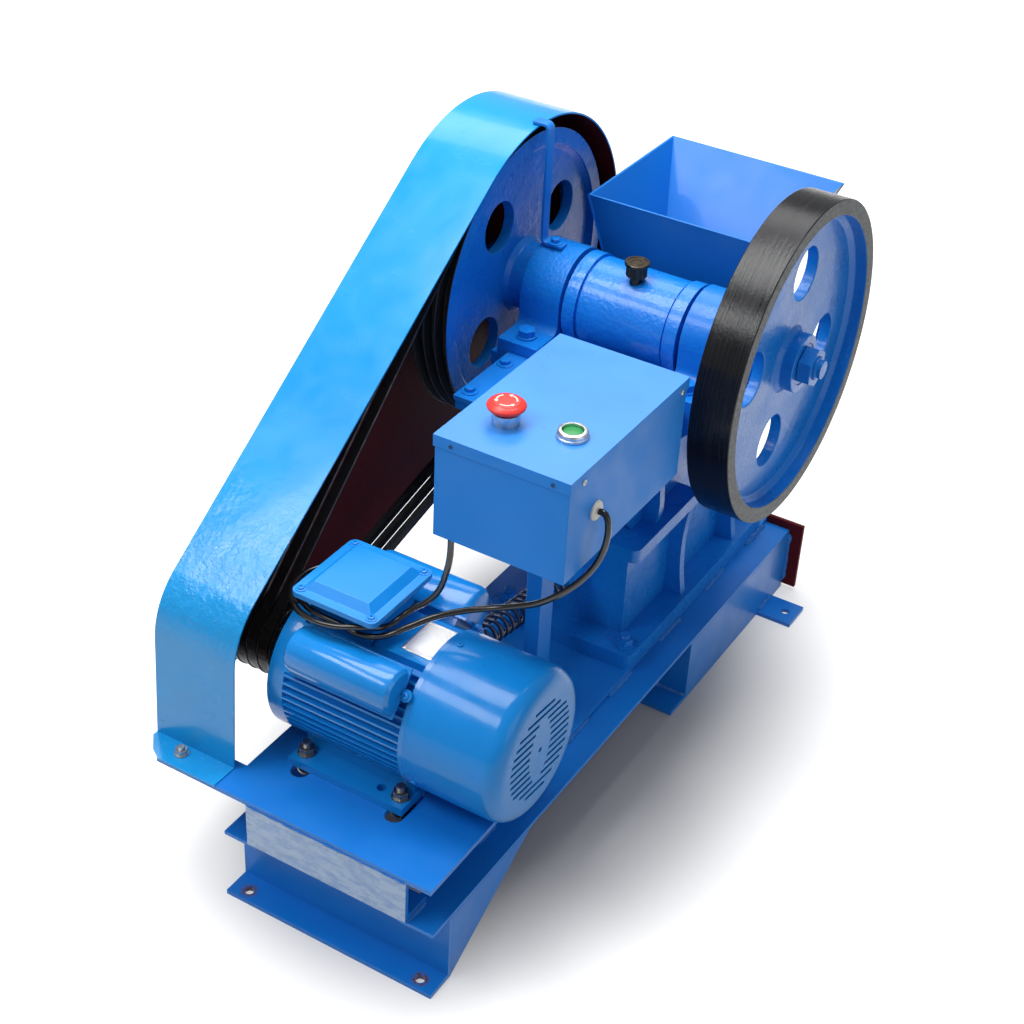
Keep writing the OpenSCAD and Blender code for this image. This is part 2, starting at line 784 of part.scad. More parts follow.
// The slots of one grille row: two from the edge inwards, or one across a short row
function grille_row(half) = half > grille_len + grille_gap
    ? [[-half, grille_len - half], [half - grille_len, half]]
    : half > 2 * grille_gap ? [[2 * grille_gap - half, half - 2 * grille_gap]] : [];

module motor_fan_cover() {
    inner = fan_cover_round - fan_cover_wall;
    cr = fan_cover_r - fan_cover_round;
    cx = fan_x1 - fan_cover_round;
    rows = floor(grille_r / grille_pitch);
    color(enamel) difference() {
        turned(motor_y, motor_z) polygon(concat([[0, fan_x1]], quarter(cr, cx, fan_cover_round),
            [[fan_cover_r, stator_x1], [fan_cover_r - fan_cover_wall, stator_x1]],
            [for (i = [8:-1:0]) quarter(cr, cx, inner)[i]], [[0, cx + inner]]));
        bar_x([cx + inner - 1, fan_x1 + 1], motor_y, motor_z, grille_eye_r);
        for (i = [-rows:rows]) let (z = i * grille_pitch, half = sqrt(pow(grille_r, 2) - z * z))
            for (y = grille_row(half)) translate([0, motor_y, motor_z]) rotate([grille_tilt, 0, 0])
                slab([cx + inner - 1, fan_x1 + 1], y, [z - grille_slot / 2, z + grille_slot / 2]);
    }
}

module terminal_box() {
    color(enamel) slab([terminal_x - terminal_len / 2, terminal_x + terminal_len / 2],
        [motor_y - terminal_w / 2, motor_y + terminal_w / 2], [terminal_z, lid_z]);
}

module terminal_box_lid() {
    x = terminal_len / 2 + terminal_lip;
    y = terminal_w / 2 + terminal_side_lip;
    corner = 9;
    rim_t = 7;
    panel = 10;
    slope = 9;
    color(enamel) translate([terminal_x, motor_y, lid_z]) {
        hull() for (i = [-1, 1]) for (j = [-1, 1])
            translate([i * (x - corner), j * (y - corner), 0]) cylinder(h = rim_t, r = corner, $fn = 32);
        hull() {
            slab([-x + panel, x - panel], [-y + panel, y - panel], [rim_t - 1, rim_t]);
            slab([-x + panel + slope, x - panel - slope], [-y + panel + slope, y - panel - slope],
                [rim_t, terminal_lid_t]);
        }
    }
}

// Half an ellipse standing on a straight base
module dome(w, h, n = 20) {
    polygon([for (k = [0:n]) [w / 2 * cos(180 * k / n), h * sin(180 * k / n)]]);
}

// A capacitor's cover of height h on its flange, along X
module capacitor_cover(h) {
    x1 = capacitor_x + capacitor_len;
    hull() for (a = [0:30:90])
        let (cut = capacitor_round * (1 - cos(a)), back = capacitor_round * (1 - sin(a)))
        translate([capacitor_x + back, 0, capacitor_base]) rotate([90, 0, 90])
            linear_extrude(height = capacitor_len - 2 * back) dome(capacitor_w - 2 * cut, h - cut);
    slab([capacitor_x - 1, x1 + 1], [-capacitor_w / 2 - 1, capacitor_w / 2 + 1],
        [capacitor_base, capacitor_base + capacitor_flange]);
    translate([x1 + capacitor_ear_x, 0, capacitor_base])
        cylinder(h = capacitor_flange, r = capacitor_ear_r);
}

module capacitor_covers() {
    color(enamel) {
        at_capacitor(-1) capacitor_cover(front_capacitor_h);
        at_capacitor(1) capacitor_cover(rear_capacitor_h);
    }
}

module motor_shaft() {
    color(zinc) bar_x([shoulder_x - motor_shaft_len, shoulder_x + shaft_seat - 2], motor_y, motor_z,
        motor_shaft_d / 2);
}

// Points of a grooved rim's edge, from the inner face outwards
function grooves(r) = let (bottom = groove_half - groove_depth * tan(groove_angle))
    [for (x = belt_x) each [[r, x + groove_half], [r - groove_depth, x + bottom],
        [r - groove_depth, x - bottom], [r, x - groove_half]]];

module motor_pulley() {
    x0 = -pulley_x - pulley_w;
    bore = motor_shaft_d / 2;
    color(black_paint) turned(motor_y, motor_z) polygon(concat(
        [[bore, -pulley_x], [motor_pulley_r, -pulley_x]],
        grooves(motor_pulley_r), [[motor_pulley_r, x0], [bore, x0]]));
}

// A belt's section: height above the rim and X, for each corner
function belt_corners() =
    let (half = groove_half - tan(groove_angle) - belt_clearance / cos(groove_angle),
        low = half - belt_h * tan(groove_angle))
    [[-1 - belt_h, -low], [-1 - belt_h, low], [-1, half], [-1, -half]];

// One endless belt at x, round the large pulley and then the small one
module belt(x) {
    big = [for (k = [0:big_steps]) [shaft_y, shaft_z, pulley_r,
        drive_angle - 90 - wrap + (180 + 2 * wrap) * k / big_steps]];
    small = [for (k = [0:small_steps]) [motor_y, motor_z, motor_pulley_r,
        drive_angle + 90 + wrap + (180 - 2 * wrap) * k / small_steps]];
    stations = concat(big, small);
    n = len(stations);
    points = [for (t = stations) for (c = belt_corners())
        [x + c[1], t[0] + (t[2] + c[0]) * cos(t[3]), t[1] + (t[2] + c[0]) * sin(t[3])]];
    faces = [for (i = [0:n - 1]) for (k = [0:3]) let (j = (i + 1) % n, m = (k + 1) % 4)
        [j * 4 + k, j * 4 + m, i * 4 + m, i * 4 + k]];
    polyhedron(points, faces);
}

module v_belts() {
    color(black_paint) for (x = belt_x) belt(x);
}

// The middle of the guard's bend, which touches its front and its long face
function bend_middle() =
    let (front = plate_top * sin(guard_lean) - guard_y0 * cos(guard_lean) - guard_bend,
        face = guard_tan[1] * cos(guard_slope) - guard_tan[0] * sin(guard_slope) - guard_bend)
    [face * sin(guard_lean) - front * cos(guard_slope), face * cos(guard_lean) - front * sin(guard_slope)]
        / cos(guard_lean + guard_slope);

// Points of the guard's bend, from its front up to its long face
function guard_knee(inset, n = 12) =
    [for (k = [0:n]) let (a = 180 - guard_lean + (guard_slope + guard_lean - 90) * k / n)
        bend_middle() + (guard_bend - inset) * [cos(a), sin(a)]];

// The guard's side outline, set in from the outside by a distance
module guard_block(x, inset) {
    normal = [-sin(guard_slope), cos(guard_slope)];
    tangent = guard_tan - inset * normal;
    lower_y = shaft_y + 0.55 * guard_r;
    lower_z = plate_top + (lower_y - guard_y0) * tan(guard_strip_slope);
    intersection() {
        union() {
            bar_x(x, shaft_y, shaft_z, guard_r - inset);
            side_plate(x) polygon(concat([[guard_y0 + inset / cos(guard_lean), plate_top]],
                guard_knee(inset), [tangent, [shaft_y, shaft_z], [lower_y, lower_z]]));
        }
        side_plate([x[0] - 1, x[1] + 1]) polygon([[guard_y0 - 1, plate_top], [guard_y0, plate_top],
            [shaft_y + guard_r + 1, plate_top + (shaft_y + guard_r + 1 - guard_y0) * tan(guard_strip_slope)],
            [shaft_y + guard_r + 1, shaft_z + guard_r + 1], [guard_y0 - 1, shaft_z + guard_r + 1]]);
    }
}

module belt_guard() {
    x1 = -guard_x + guard_w;
    front = guard_y0 - guard_foot;
    corner_y = shaft_y + guard_r / 2;
    color(enamel) difference() {
        union() {
            difference() {
                guard_block([-guard_x, x1], 0);
                guard_block([-guard_x + guard_t, x1 + e], guard_t);
            }
            side_plate([-guard_x, -guard_x + guard_t]) polygon([[guard_y0, plate_top], [shaft_y, shaft_z],
                [shaft_y + 0.95 * guard_r, shaft_z],
                [corner_y, plate_top + (corner_y - guard_y0) * tan(guard_plate_slope)]]);
            translate([0, 0, plate_top]) linear_extrude(height = guard_t) polygon([
                [-guard_x, guard_y0 + guard_t],
                [-guard_x, front + guard_corner[1]],
                [-guard_x + guard_corner[0] / 2, front + guard_corner[1] / 3],
                [-guard_x + guard_corner[0], front], [x1, front], [x1, guard_y0 + guard_t]]);
        }
        translate([guard_bolt[0], guard_bolt[1], plate_top - 1]) cylinder(h = guard_t + 2, r = guard_hole_r);
    }
}

// A quarter of a bend in the stay, drawn as X and Z
function bend(c, r, from, n = 6) =
    [for (k = [0:n]) c + r * [cos(from + 90 * k / n), sin(from + 90 * k / n)]];

module guard_stay() {
    low = shaft_z + block_r;
    top = shaft_z + sqrt(pow(guard_r, 2) - pow(max(0, abs(stay_y - shaft_y) - stay_w / 2), 2));
    left = -guard_x + guard_w - stay_lap;
    x1 = stay_x + stay_t;
    inner = stay_bend - stay_t;
    up = [x1 - stay_bend, top + stay_t - stay_bend];
    down = [stay_x + stay_bend, low + stay_bend];
    color(enamel) translate([0, stay_y + stay_w / 2, 0]) rotate([90, 0, 0]) linear_extrude(height = stay_w)
        polygon(concat([[left, top], [left, top + stay_t]], [for (k = [6:-1:0]) bend(up, stay_bend, 0)[k]],
            [for (k = [0:6]) bend(down, inner, 180)[k]], [[stay_x + stay_foot, low + stay_t],
            [stay_x + stay_foot, low]], [for (k = [6:-1:0]) bend(down, stay_bend, 180)[k]],
            [for (k = [0:6]) bend(up, inner, 0)[k]]));
}

// A rib's outline beside the wall: its edge curves in between floor and top
function rib_edge(low, high, z0, z1) = [for (k = [0:rib_steps]) let (t = k / rib_steps, w = 4 * t * (1 - t))
    [(1 - w) * (low + (high - low) * t) + w * (wall_x1 + rib_waist), z0 + (z1 - z0) * t]];

// A rib across a side wall, with its rear face at y
module rib(y, low, high, z0, z1) {
    translate([0, y, 0]) rotate([90, 0, 0]) linear_extrude(height = rib_t)
        polygon(concat([[wall_x1 - 1, z0]], rib_edge(low, high, z0, z1), [[wall_x1 - 1, z1]]));
}

module crusher_frame() {
    ear_x = ear_w / 2 - flange_corner;
    ear_y1 = frame_y0 + ear_len;
    wing_y0 = cover_y0 + cover_tongue;
    color(enamel) difference() {
        union() {
            round_slab([-frame_flange_w / 2, frame_flange_w / 2], [frame_y0, frame_y1],
                [deck_top, frame_floor], flange_corner);
            both_sides() {
                side_plate([wall_x0, wall_x1]) polygon([
                    [body_y0, frame_floor - 1], [body_y1, frame_floor - 1],
                    [body_y1, seat_z], [seat_y1, seat_z], [seat_y0, seat_z], [cover_y0 + ledge_t, seat_z],
                    [cover_y0 + ledge_t, seat_z - 30], [body_y0, ear_top]]);
                slab([wall_x0, ear_x], [frame_y0, ear_y1], [ear_top - ear_t, ear_top]);
                slab([wall_x0, ear_w / 2], [frame_y0 + flange_corner, ear_y1], [ear_top - ear_t, ear_top]);
                translate([ear_x, frame_y0 + flange_corner, ear_top - ear_t])
                    cylinder(h = ear_t, r = flange_corner);
                slab([wall_x1 - 1, seat_w / 2], [seat_y0, seat_y1], [seat_z - seat_t, seat_z]);
                slab([wall_x1 - 1, cover_w / 2 - 2], [wing_y0 + 2, seat_y0 + 1], [seat_z - ledge_t, seat_z]);
                for (y = [ear_y1, body_y1 - 60])
                    rib(y, frame_flange_w / 2 - 6, ear_w / 2 - 4, frame_floor - 1, ear_top - ear_t + 1);
                for (y = [seat_y0 + 30, seat_y1 - 20])
                    rib(y, wall_x1 + rib_waist, seat_w / 2 - 8, ear_top - 1, seat_z - seat_t + 1);
            }
            slab([-wall_x1, wall_x1], [body_y1 - end_wall_t, body_y1], [frame_floor - 1, seat_z]);
            slab([-wall_x0 - 1, wall_x0 + 1], [body_y0, body_y0 + end_wall_t], [frame_floor - 1, ear_top]);
            on_rod() translate([0, 0, spring_end])
                cylinder(h = rod_wall - spring_end + end_wall_t / 2, r = spring_seat_r);
        }
        slab([-chamber_w / 2, chamber_w / 2], discharge_y, [deck_top - 1, frame_floor + 1]);
        bar_x([-barrel_len / 2 - barrel_end_room, barrel_len / 2 + barrel_end_room], shaft_y, shaft_z,
            barrel_room);
        on_rod() translate([0, 0, spring_end - 1])
            cylinder(h = rod_wall - spring_end + 2 * end_wall_t, r = rod_r + 0.3);
        for (s = [-1, 1]) {
            for (y = [frame_y0 + frame_bolt_inset, frame_y1 - frame_bolt_inset])
                translate([s * frame_bolt_x, y, deck_top - 1])
                    cylinder(h = frame_flange_t + 2, r = bolt_hole_r);
            for (t = [-1, 1])
                translate([s * (block_inset + block_w / 2), shaft_y + t * block_pitch / 2,
                    seat_z - seat_t - 1])
                    cylinder(h = seat_t + 2, r = bolt_hole_r);
        }
    }
}

module frame_bolts() {
    color(zinc) {
        for (s = [-1, 1]) for (y = [frame_y0 + frame_bolt_inset, frame_y1 - frame_bolt_inset])
            bolt(s * frame_bolt_x, y, frame_floor, frame_bolt_r, frame_flange_t, frame_bolt_r);
        bolt(guard_bolt[0], guard_bolt[1], plate_top + guard_t, guard_bolt_r, guard_t + motor_plate_t,
            guard_bolt_r);
    }
}

module bearing_block(s) {
    x = s > 0 ? [block_inset, block_inset + block_w] : [-block_inset - block_w, -block_inset];
    color(enamel) difference() {
        union() {
            slab(x, [seat_y0, seat_y1], [seat_z, seat_z + block_foot_t]);
            bar_x(x, shaft_y, shaft_z, block_r);
            slab(x, [shaft_y - block_r, shaft_y + block_r], [seat_z, shaft_z]);
            difference() {
                slab(x, [shaft_y - block_r - block_fillet, shaft_y + block_r + block_fillet],
                    [seat_z, seat_z + block_foot_t + block_fillet]);
                for (t = [-1, 1])
                    bar_x([x[0] - 1, x[1] + 1], shaft_y + t * (block_r + block_fillet),
                        seat_z + block_foot_t + block_fillet, block_fillet);
            }
        }
        slab([x[0] - 1, x[1] + 1], [seat_y0, seat_y1], [seat_z - block_r, seat_z]);
        bar_x([x[0] - 1, x[1] + 1], shaft_y, shaft_z, shaft_d / 2 + bearing_clearance);
        for (t = [-1, 1]) translate([(x[0] + x[1]) / 2, shaft_y + t * block_pitch / 2, seat_z - 1])
            cylinder(h = block_foot_t + 2, r = bolt_hole_r);
    }
}

module bearing_bolts() {
    color(zinc) for (s = [-1, 1]) for (t = [-1, 1])
        bolt(s * (block_inset + block_w / 2), shaft_y + t * block_pitch / 2, seat_z + block_foot_t,
            frame_bolt_r, block_foot_t + seat_t);
}

module cover_plate() {
    color(enamel) {
        slab([-cover_tongue_w / 2, cover_tongue_w / 2], [cover_y0, cover_y1], [seat_z, cover_z]);
        slab([-cover_w / 2, cover_w / 2], [cover_y0 + cover_tongue, cover_y1], [seat_z, cover_z]);
    }
}

// The hopper's funnel, set in from the outside by a distance
module funnel(inset, below) {
    y0 = shaft_y + hopper_front;
    hull() {
        slab([-hopper_w / 2 + inset, hopper_w / 2 - inset], [y0 + inset, y0 + hopper_len - inset],
            [hopper_z, hopper_z + below]);
        slab([-hopper_outlet_w / 2 + inset, hopper_outlet_w / 2 - inset],
            [y0 + inset, y0 + hopper_outlet_len - inset], [seat_z - below, seat_z]);
    }
}

module hopper() {
    color(enamel) intersection() {
        difference() {
            funnel(0, e);
            funnel(hopper_t, 0.5);
        }
        slab([-hopper_w, hopper_w], [0, 2 * shaft_y], [seat_z, hopper_z]);
    }
}

// Upright teeth across a jaw plate, in plan, on a back of jaw_t
module toothed_plan() {
    pitch = jaw_w / tooth_count;
    polygon(concat([[-jaw_w / 2, 0]], [[-jaw_w / 2, jaw_t]],
        [for (i = [0:tooth_count - 1]) each [[-jaw_w / 2 + (i + 0.5) * pitch, jaw_t + tooth_h],
            [-jaw_w / 2 + (i + 1) * pitch, jaw_t]]], [[jaw_w / 2, 0]]));
}

module fixed_jaw_plate() {
    color(zinc) translate([0, fixed_back_y, jaw_bottom]) rotate([0, 0, 180])
        linear_extrude(height = jaw_top - jaw_bottom) toothed_plan();
}

module cheek_plates() {
    color(zinc) both_sides() side_plate([chamber_w / 2, wall_x0])
        polygon([[swing_top_y + 4, seat_z - 14], [fixed_back_y, seat_z - 14], [fixed_back_y, jaw_bottom],
            [swing_bottom_y - 34, jaw_bottom], [swing_top_y + 4, jaw_top - 90]]);
}

// The back of the swing jaw's plate: a frame with its Z along the face
module on_swing_face() {
    back = jaw_t + tooth_h;
    translate([0, swing_bottom_y, jaw_bottom]) rotate([jaw_lean, 0, 0]) translate([0, -back, 0]) children();
}

module swing_jaw_plate() {
    color(zinc) on_swing_face() linear_extrude(height = (swing_top - jaw_bottom) / cos(jaw_lean))
        toothed_plan();
}

module swing_jaw() {
    ring_x = barrel_len / 2;
    ring_in = ring_x - barrel_ring;
    mid_r = barrel_r - barrel_step;
    arm_x = jaw_w / 2;
    back = jaw_t + tooth_h;
    neck = [20, 30];
    heel = [34, 40];
    waist = [14, 130];
    seat = 20;
    foot = 60;
    color(enamel) difference() {
        union() {
            turned(shaft_y, barrel_z) polygon([[0, -ring_x], [barrel_r, -ring_x], [barrel_r, -ring_in],
                [mid_r - groove_cut, -ring_in], [mid_r - groove_cut, -ring_in + barrel_groove],
                [mid_r, -ring_in + barrel_groove], [mid_r, ring_in - barrel_groove],
                [mid_r - groove_cut, ring_in - barrel_groove], [mid_r - groove_cut, ring_in],
                [barrel_r, ring_in], [barrel_r, ring_x], [0, ring_x]]);
            side_plate([-arm_x, arm_x]) polygon([
                [swing_bottom_y - back / cos(jaw_lean), jaw_bottom],
                [swing_bottom_y - back / cos(jaw_lean) - (swing_top - jaw_bottom) * tan(jaw_lean), swing_top],
                [shaft_y + neck[0], barrel_z], [shaft_y - neck[1], barrel_z],
                [shaft_y - heel[0], barrel_z - heel[1]], [shaft_y + waist[0], jaw_bottom + waist[1]],
                [toggle_y, toggle_z + seat], [toggle_y, toggle_z - seat],
                [swing_bottom_y - foot, jaw_bottom]]);
        }
        bar_x([-ring_x - 1, ring_x + 1], shaft_y, barrel_z, journal_d / 2 + bearing_clearance);
        translate([0, cup_y, cup_z]) cylinder(h = barrel_r, r = cup_neck_r + cup_clearance);
    }
}

module grease_cup() {
    color(black_paint) translate([0, cup_y, cup_z]) {
        cylinder(h = cup_neck_h, r = cup_neck_r);
        translate([0, 0, cup_neck_h]) cylinder(h = cup_h, r = cup_r);
        translate([0, 0, cup_neck_h + cup_h]) cylinder(h = cup_rim_h, r = cup_rim_r);
    }
}

module toggle_plate() {
    rear = body_y0 + end_wall_t;
    front = toggle_y - 2 * eccentricity - toggle_clearance;
    rear_z = toggle_z + toggle_rise;
    color(zinc) side_plate([-jaw_w / 2 + plate_t, jaw_w / 2 - plate_t])
        polygon([[rear, rear_z - toggle_half], [rear, rear_z + toggle_half],
            [front, toggle_z + toggle_half], [front, toggle_z - toggle_half]]);
}

// A frame along the tension rod, from its outer end towards the jaw
module on_rod() {
    translate(rod_end) rotate([-90 - rod_tilt, 0, 0]) children();
}

module tension_rod() {
    color(zinc) on_rod() {
        cylinder(h = rod_len, r = rod_r);
        translate([0, 0, spring_start - washer_t - rod_nut_h])
            cylinder(h = rod_nut_h, r = rod_nut_r, $fn = 6);
        translate([0, 0, spring_start - washer_t]) cylinder(h = washer_t, r = spring_seat_r);
    }
}

module tension_spring() {
    steps = 10;
    lift = spring_end - spring_start - 2 * spring_wire_r - 0.2;
    color(black_paint) on_rod() translate([0, 0, spring_start + spring_wire_r + 0.1])
        tube([for (i = [0:spring_turns * steps]) let (a = 360 * i / steps)
            [spring_r * cos(a), spring_r * sin(a), lift * i / (spring_turns * steps)]], spring_wire_r, 6);
}

module eccentric_shaft() {
    j = barrel_len / 2 + 4;
    left = -pulley_x - pulley_w;
    right = flywheel_x + flywheel_w;
    color(zinc) {
        bar_x([left - nut_h - thread_end, left + 2], shaft_y, shaft_z, thread_r);
        bar_x([left + 1, -j + e], shaft_y, shaft_z, shaft_d / 2);
        bar_x([-j, j], shaft_y, barrel_z, journal_d / 2);
        bar_x([j - e, right - 1], shaft_y, shaft_z, shaft_d / 2);
        bar_x([right - 2, right + nut_h + thread_end], shaft_y, shaft_z, thread_r);
        bar_x([right + nut_h, right + nut_h + stub_len], shaft_y, shaft_z, stub_r);
    }
}

// Round holes through a wheel's web between two X values
module web_cuts(x, turn) {
    for (k = [0:web_holes - 1]) translate([0, shaft_y, shaft_z]) rotate([turn + k * 360 / web_holes, 0, 0])
        bar_x(x, web_hole_circle, 0, web_hole_d / 2);
}

module flywheel() {
    rim = flywheel_r - flywheel_rim;
    x1 = flywheel_x + flywheel_w;
    web = [flywheel_x + web_inset, flywheel_x + web_inset + web_t];
    f = web_fillet;
    color(black_paint) difference() {
        turned(shaft_y, shaft_z) polygon([[shaft_d / 2, hub_x], [hub_r, hub_x], [hub_r, web[0] - f],
            [hub_r + f, web[0]], [rim - f, web[0]], [rim, web[0] - f],
            [rim, flywheel_x], [flywheel_r, flywheel_x], [flywheel_r, x1], [rim, x1], [rim, web[1] + f],
            [rim - f, web[1]], [boss_r + f, web[1]], [boss_r, web[1] + f], [boss_r, x1], [shaft_d / 2, x1]]);
        web_cuts([web[0] - 1, web[1] + 1], flywheel_turn);
    }
}

module drive_pulley() {
    x0 = -pulley_x - pulley_w;
    rim = pulley_r - groove_depth - 8;
    web = [-pulley_x - pulley_web_inset - web_t, -pulley_x - pulley_web_inset];
    f = web_fillet;
    color(enamel) difference() {
        turned(shaft_y, shaft_z) polygon(concat([[shaft_d / 2, -hub_x], [hub_r, -hub_x], [hub_r, web[1] + f],
            [hub_r + f, web[1]], [rim - f, web[1]], [rim, web[1] + f], [rim, -pulley_x],
            [pulley_r, -pulley_x]],
            grooves(pulley_r), [[pulley_r, x0], [rim, x0], [rim, web[0] - f], [rim - f, web[0]],
            [boss_r + f, web[0]], [boss_r, web[0] - f], [boss_r, x0], [shaft_d / 2, x0]]));
        web_cuts([web[0] - 1, web[1] + 1], pulley_turn);
    }
}

module shaft_nuts() {
    color(enamel) for (x = [flywheel_x + flywheel_w, -pulley_x - pulley_w - nut_h])
        difference() {
            translate([x, shaft_y, shaft_z]) rotate([0, 90, 0]) cylinder(h = nut_h, r = nut_r, $fn = 6);
            bar_x([x - 1, x + nut_h + 1], shaft_y, shaft_z, thread_r + bearing_clearance);
        }
}

module box_post() {
    x = [box_x + 10, box_x + 10 + post_w];
    y = [post_y0, post_y0 + post_d];
    wall = 2;
    color(enamel) difference() {
        slab(x, y, [deck_top, cover_z]);
        slab([x[0] + wall, x[1] - wall], [y[0] + wall, y[1] - wall], [deck_top - 1, cover_z - 2 * wall]);
    }
}

module control_box() {
    color(enamel) difference() {
        slab([box_x + lid_t, box_x + box_w - lid_t], [box_y0 + lid_t, box_y1 - lid_t],
            [cover_z, box_top - lid_t]);
        for (b = [stop_at, start_at]) translate([b[0], b[1], box_top - 40]) cylinder(h = 60, r = 12);
    }
}

module control_box_lid() {
    color(enamel) difference() {
        slab([box_x, box_x + box_w], [box_y0, box_y1], [box_top - lid_skirt, box_top]);
        slab([box_x + lid_t, box_x + box_w - lid_t], [box_y0 + lid_t, box_y1 - lid_t],
            [box_top - lid_skirt - 1, box_top - lid_t]);
        for (b = [stop_at, start_at]) translate([b[0], b[1], box_top - 40]) cylinder(h = 60, r = 12);
    }
}

module stop_button_collar() {
    color("silver") translate([stop_at[0], stop_at[1], box_top]) difference() {
        union() {
            cylinder(h = 12, r = 14.5);
            translate([0, 0, -22]) cylinder(h = 23, r = 11.5);
        }
        translate([0, 0, -18]) cylinder(h = 40, r = 8.05);
    }
}

module stop_button() {
    rise = stop_rise + button_travel;
    edge = stop_d / 2;
    color("#d81f26") translate([stop_at[0], stop_at[1], box_top]) {
        translate([0, 0, -18 + button_travel + 1]) cylinder(h = rise + 18, r = 8);
        translate([0, 0, rise]) rotate_extrude() polygon([[0, 0], [edge - 3, 0], [edge - 0.8, 1.2],
            [edge, 3.2], [edge - 0.5, 5], [edge - 3, 7.2], [edge - 6, 8.2], [edge - 6.6, 8.8], [0, 9.4]]);
    }
}

module start_button_ring() {
    edge = start_d / 2;
    color("silver") translate([start_at[0], start_at[1], box_top]) difference() {
        union() {
            rotate_extrude() polygon([[0, 0], [edge, 0], [edge, 3], [edge - 1, 3.6], [edge - 1, 6],
                [edge - 2, start_bezel_h - 0.6], [edge - 3.2, start_bezel_h], [0, start_bezel_h]]);
            translate([0, 0, -22]) cylinder(h = 22.5, r = 11.5);
        }
        translate([0, 0, -18]) cylinder(h = 40, r = button_stem_r + 0.05);
        translate([0, 0, button_gap]) cylinder(h = start_bezel_h, r = start_head_r + button_gap);
    }
}

module start_button() {
    low = button_travel + 2 * button_gap;
    color("#12924b") translate([start_at[0], start_at[1], box_top]) {
        translate([0, 0, low - 18]) cylinder(h = 18 + e, r = button_stem_r);
        translate([0, 0, low]) rotate_extrude() polygon([[0, 0], [start_head_r, 0], [start_head_r, 1.4],
            [start_head_r - 2, 2.4], [start_head_r - 6, 3.1], [0, 3.4]]);
    }
}

module cord_gland() {
    x = box_x + box_w - lid_t;
    color("white") turned(gland_at[0], gland_at[1]) polygon([[0, x], [gland_r, x], [gland_r, x + gland_t],
        [gland_r - gland_t, x + 2 * gland_t], [0, x + 2 * gland_t]]);
}

module start_lead() {
    color(black_paint) tube(start_route, cord_d / 2);
}

module motor_lead() {
    color(black_paint) tube(motor_route, cord_d / 2);
}

base_rails();
front_foot();
front_gussets();
deck_plate();
rear_pedestal();
rear_end_plate();
motor_channels();
motor_plate();
motor_body();
motor_bolts();
motor_fan_cover();
terminal_box();
terminal_box_lid();
capacitor_covers();
motor_shaft();
motor_pulley();
v_belts();
belt_guard();
guard_stay();
crusher_frame();
frame_bolts();
bearing_block(-1);  // bearing_block_left
bearing_block(1);  // bearing_block_right
bearing_bolts();
cover_plate();
hopper();
fixed_jaw_plate();
cheek_plates();
toggle_plate();
tension_rod();
tension_spring();
eccentric_shaft();
flywheel();
drive_pulley();
shaft_nuts();
swing_jaw();
swing_jaw_plate();
grease_cup();
box_post();
control_box();
control_box_lid();
stop_button_collar();
stop_button();
start_button_ring();
start_button();
cord_gland();
start_lead();
motor_lead();
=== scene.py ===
"""The looks of a small blue laboratory jaw crusher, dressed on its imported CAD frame.

Metres, +Z up, in the CAD part's own frame: +X points to the flywheel side, +Y from motor to hopper.
"""

import math

import bmesh
import bpy
from mathutils import Matrix, Vector, noise


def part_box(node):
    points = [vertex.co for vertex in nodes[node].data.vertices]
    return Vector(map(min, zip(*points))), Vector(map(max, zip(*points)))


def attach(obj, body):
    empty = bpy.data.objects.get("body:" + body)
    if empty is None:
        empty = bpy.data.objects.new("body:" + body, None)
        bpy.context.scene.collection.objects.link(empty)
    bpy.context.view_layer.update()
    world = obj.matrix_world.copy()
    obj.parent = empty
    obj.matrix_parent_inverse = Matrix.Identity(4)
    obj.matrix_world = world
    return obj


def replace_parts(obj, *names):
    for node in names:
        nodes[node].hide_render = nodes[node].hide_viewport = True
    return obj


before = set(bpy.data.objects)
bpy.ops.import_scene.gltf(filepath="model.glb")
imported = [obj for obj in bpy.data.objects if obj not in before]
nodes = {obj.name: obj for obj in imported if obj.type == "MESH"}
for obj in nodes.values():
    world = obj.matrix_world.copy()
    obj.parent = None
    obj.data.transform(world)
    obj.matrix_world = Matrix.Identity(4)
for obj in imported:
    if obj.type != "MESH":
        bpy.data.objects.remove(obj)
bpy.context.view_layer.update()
MM = 0.001
UP = Vector((0, 0, 1))


# Places, read from the frame where a node gives them
def mm(*numbers):
    return Vector(numbers) * MM


def low(node):
    return Vector(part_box(node)[0])


def high(node):
    return Vector(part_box(node)[1])


def axle(node):
    """The middle of a turned node, on the machine's own middle plane."""
    middle = (low(node) + high(node)) / 2
    return Vector((0, middle.y, middle.z))


def grid(xs, ys, z):
    """Places at one height, for every X with every Y."""
    return [Vector((x, y, z)) for x in xs for y in ys]


SHAFT = axle("flywheel")
MOTOR = axle("motor_pulley")
FLYWHEEL_R = high("flywheel").z - SHAFT.z
PULLEY_R = high("drive_pulley").z - SHAFT.z
ROD_END = mm(0, 257, 239)
ROD_TILT = math.radians(10)
ROD_ALONG = Vector((0, math.cos(ROD_TILT), -math.sin(ROD_TILT)))
STOP_BUTTON = mm(61, 218, 0)


# Camera, solved from the photograph
CAMERA_AT = Vector((0.8536, -1.1507, 1.5655))
CAMERA_AZIMUTH = math.radians(29.67)
CAMERA_ELEVATION = math.radians(34.59)
CAMERA_ROLL = math.radians(3.16)
CAMERA_LENS = 65.4
SENSOR = 36


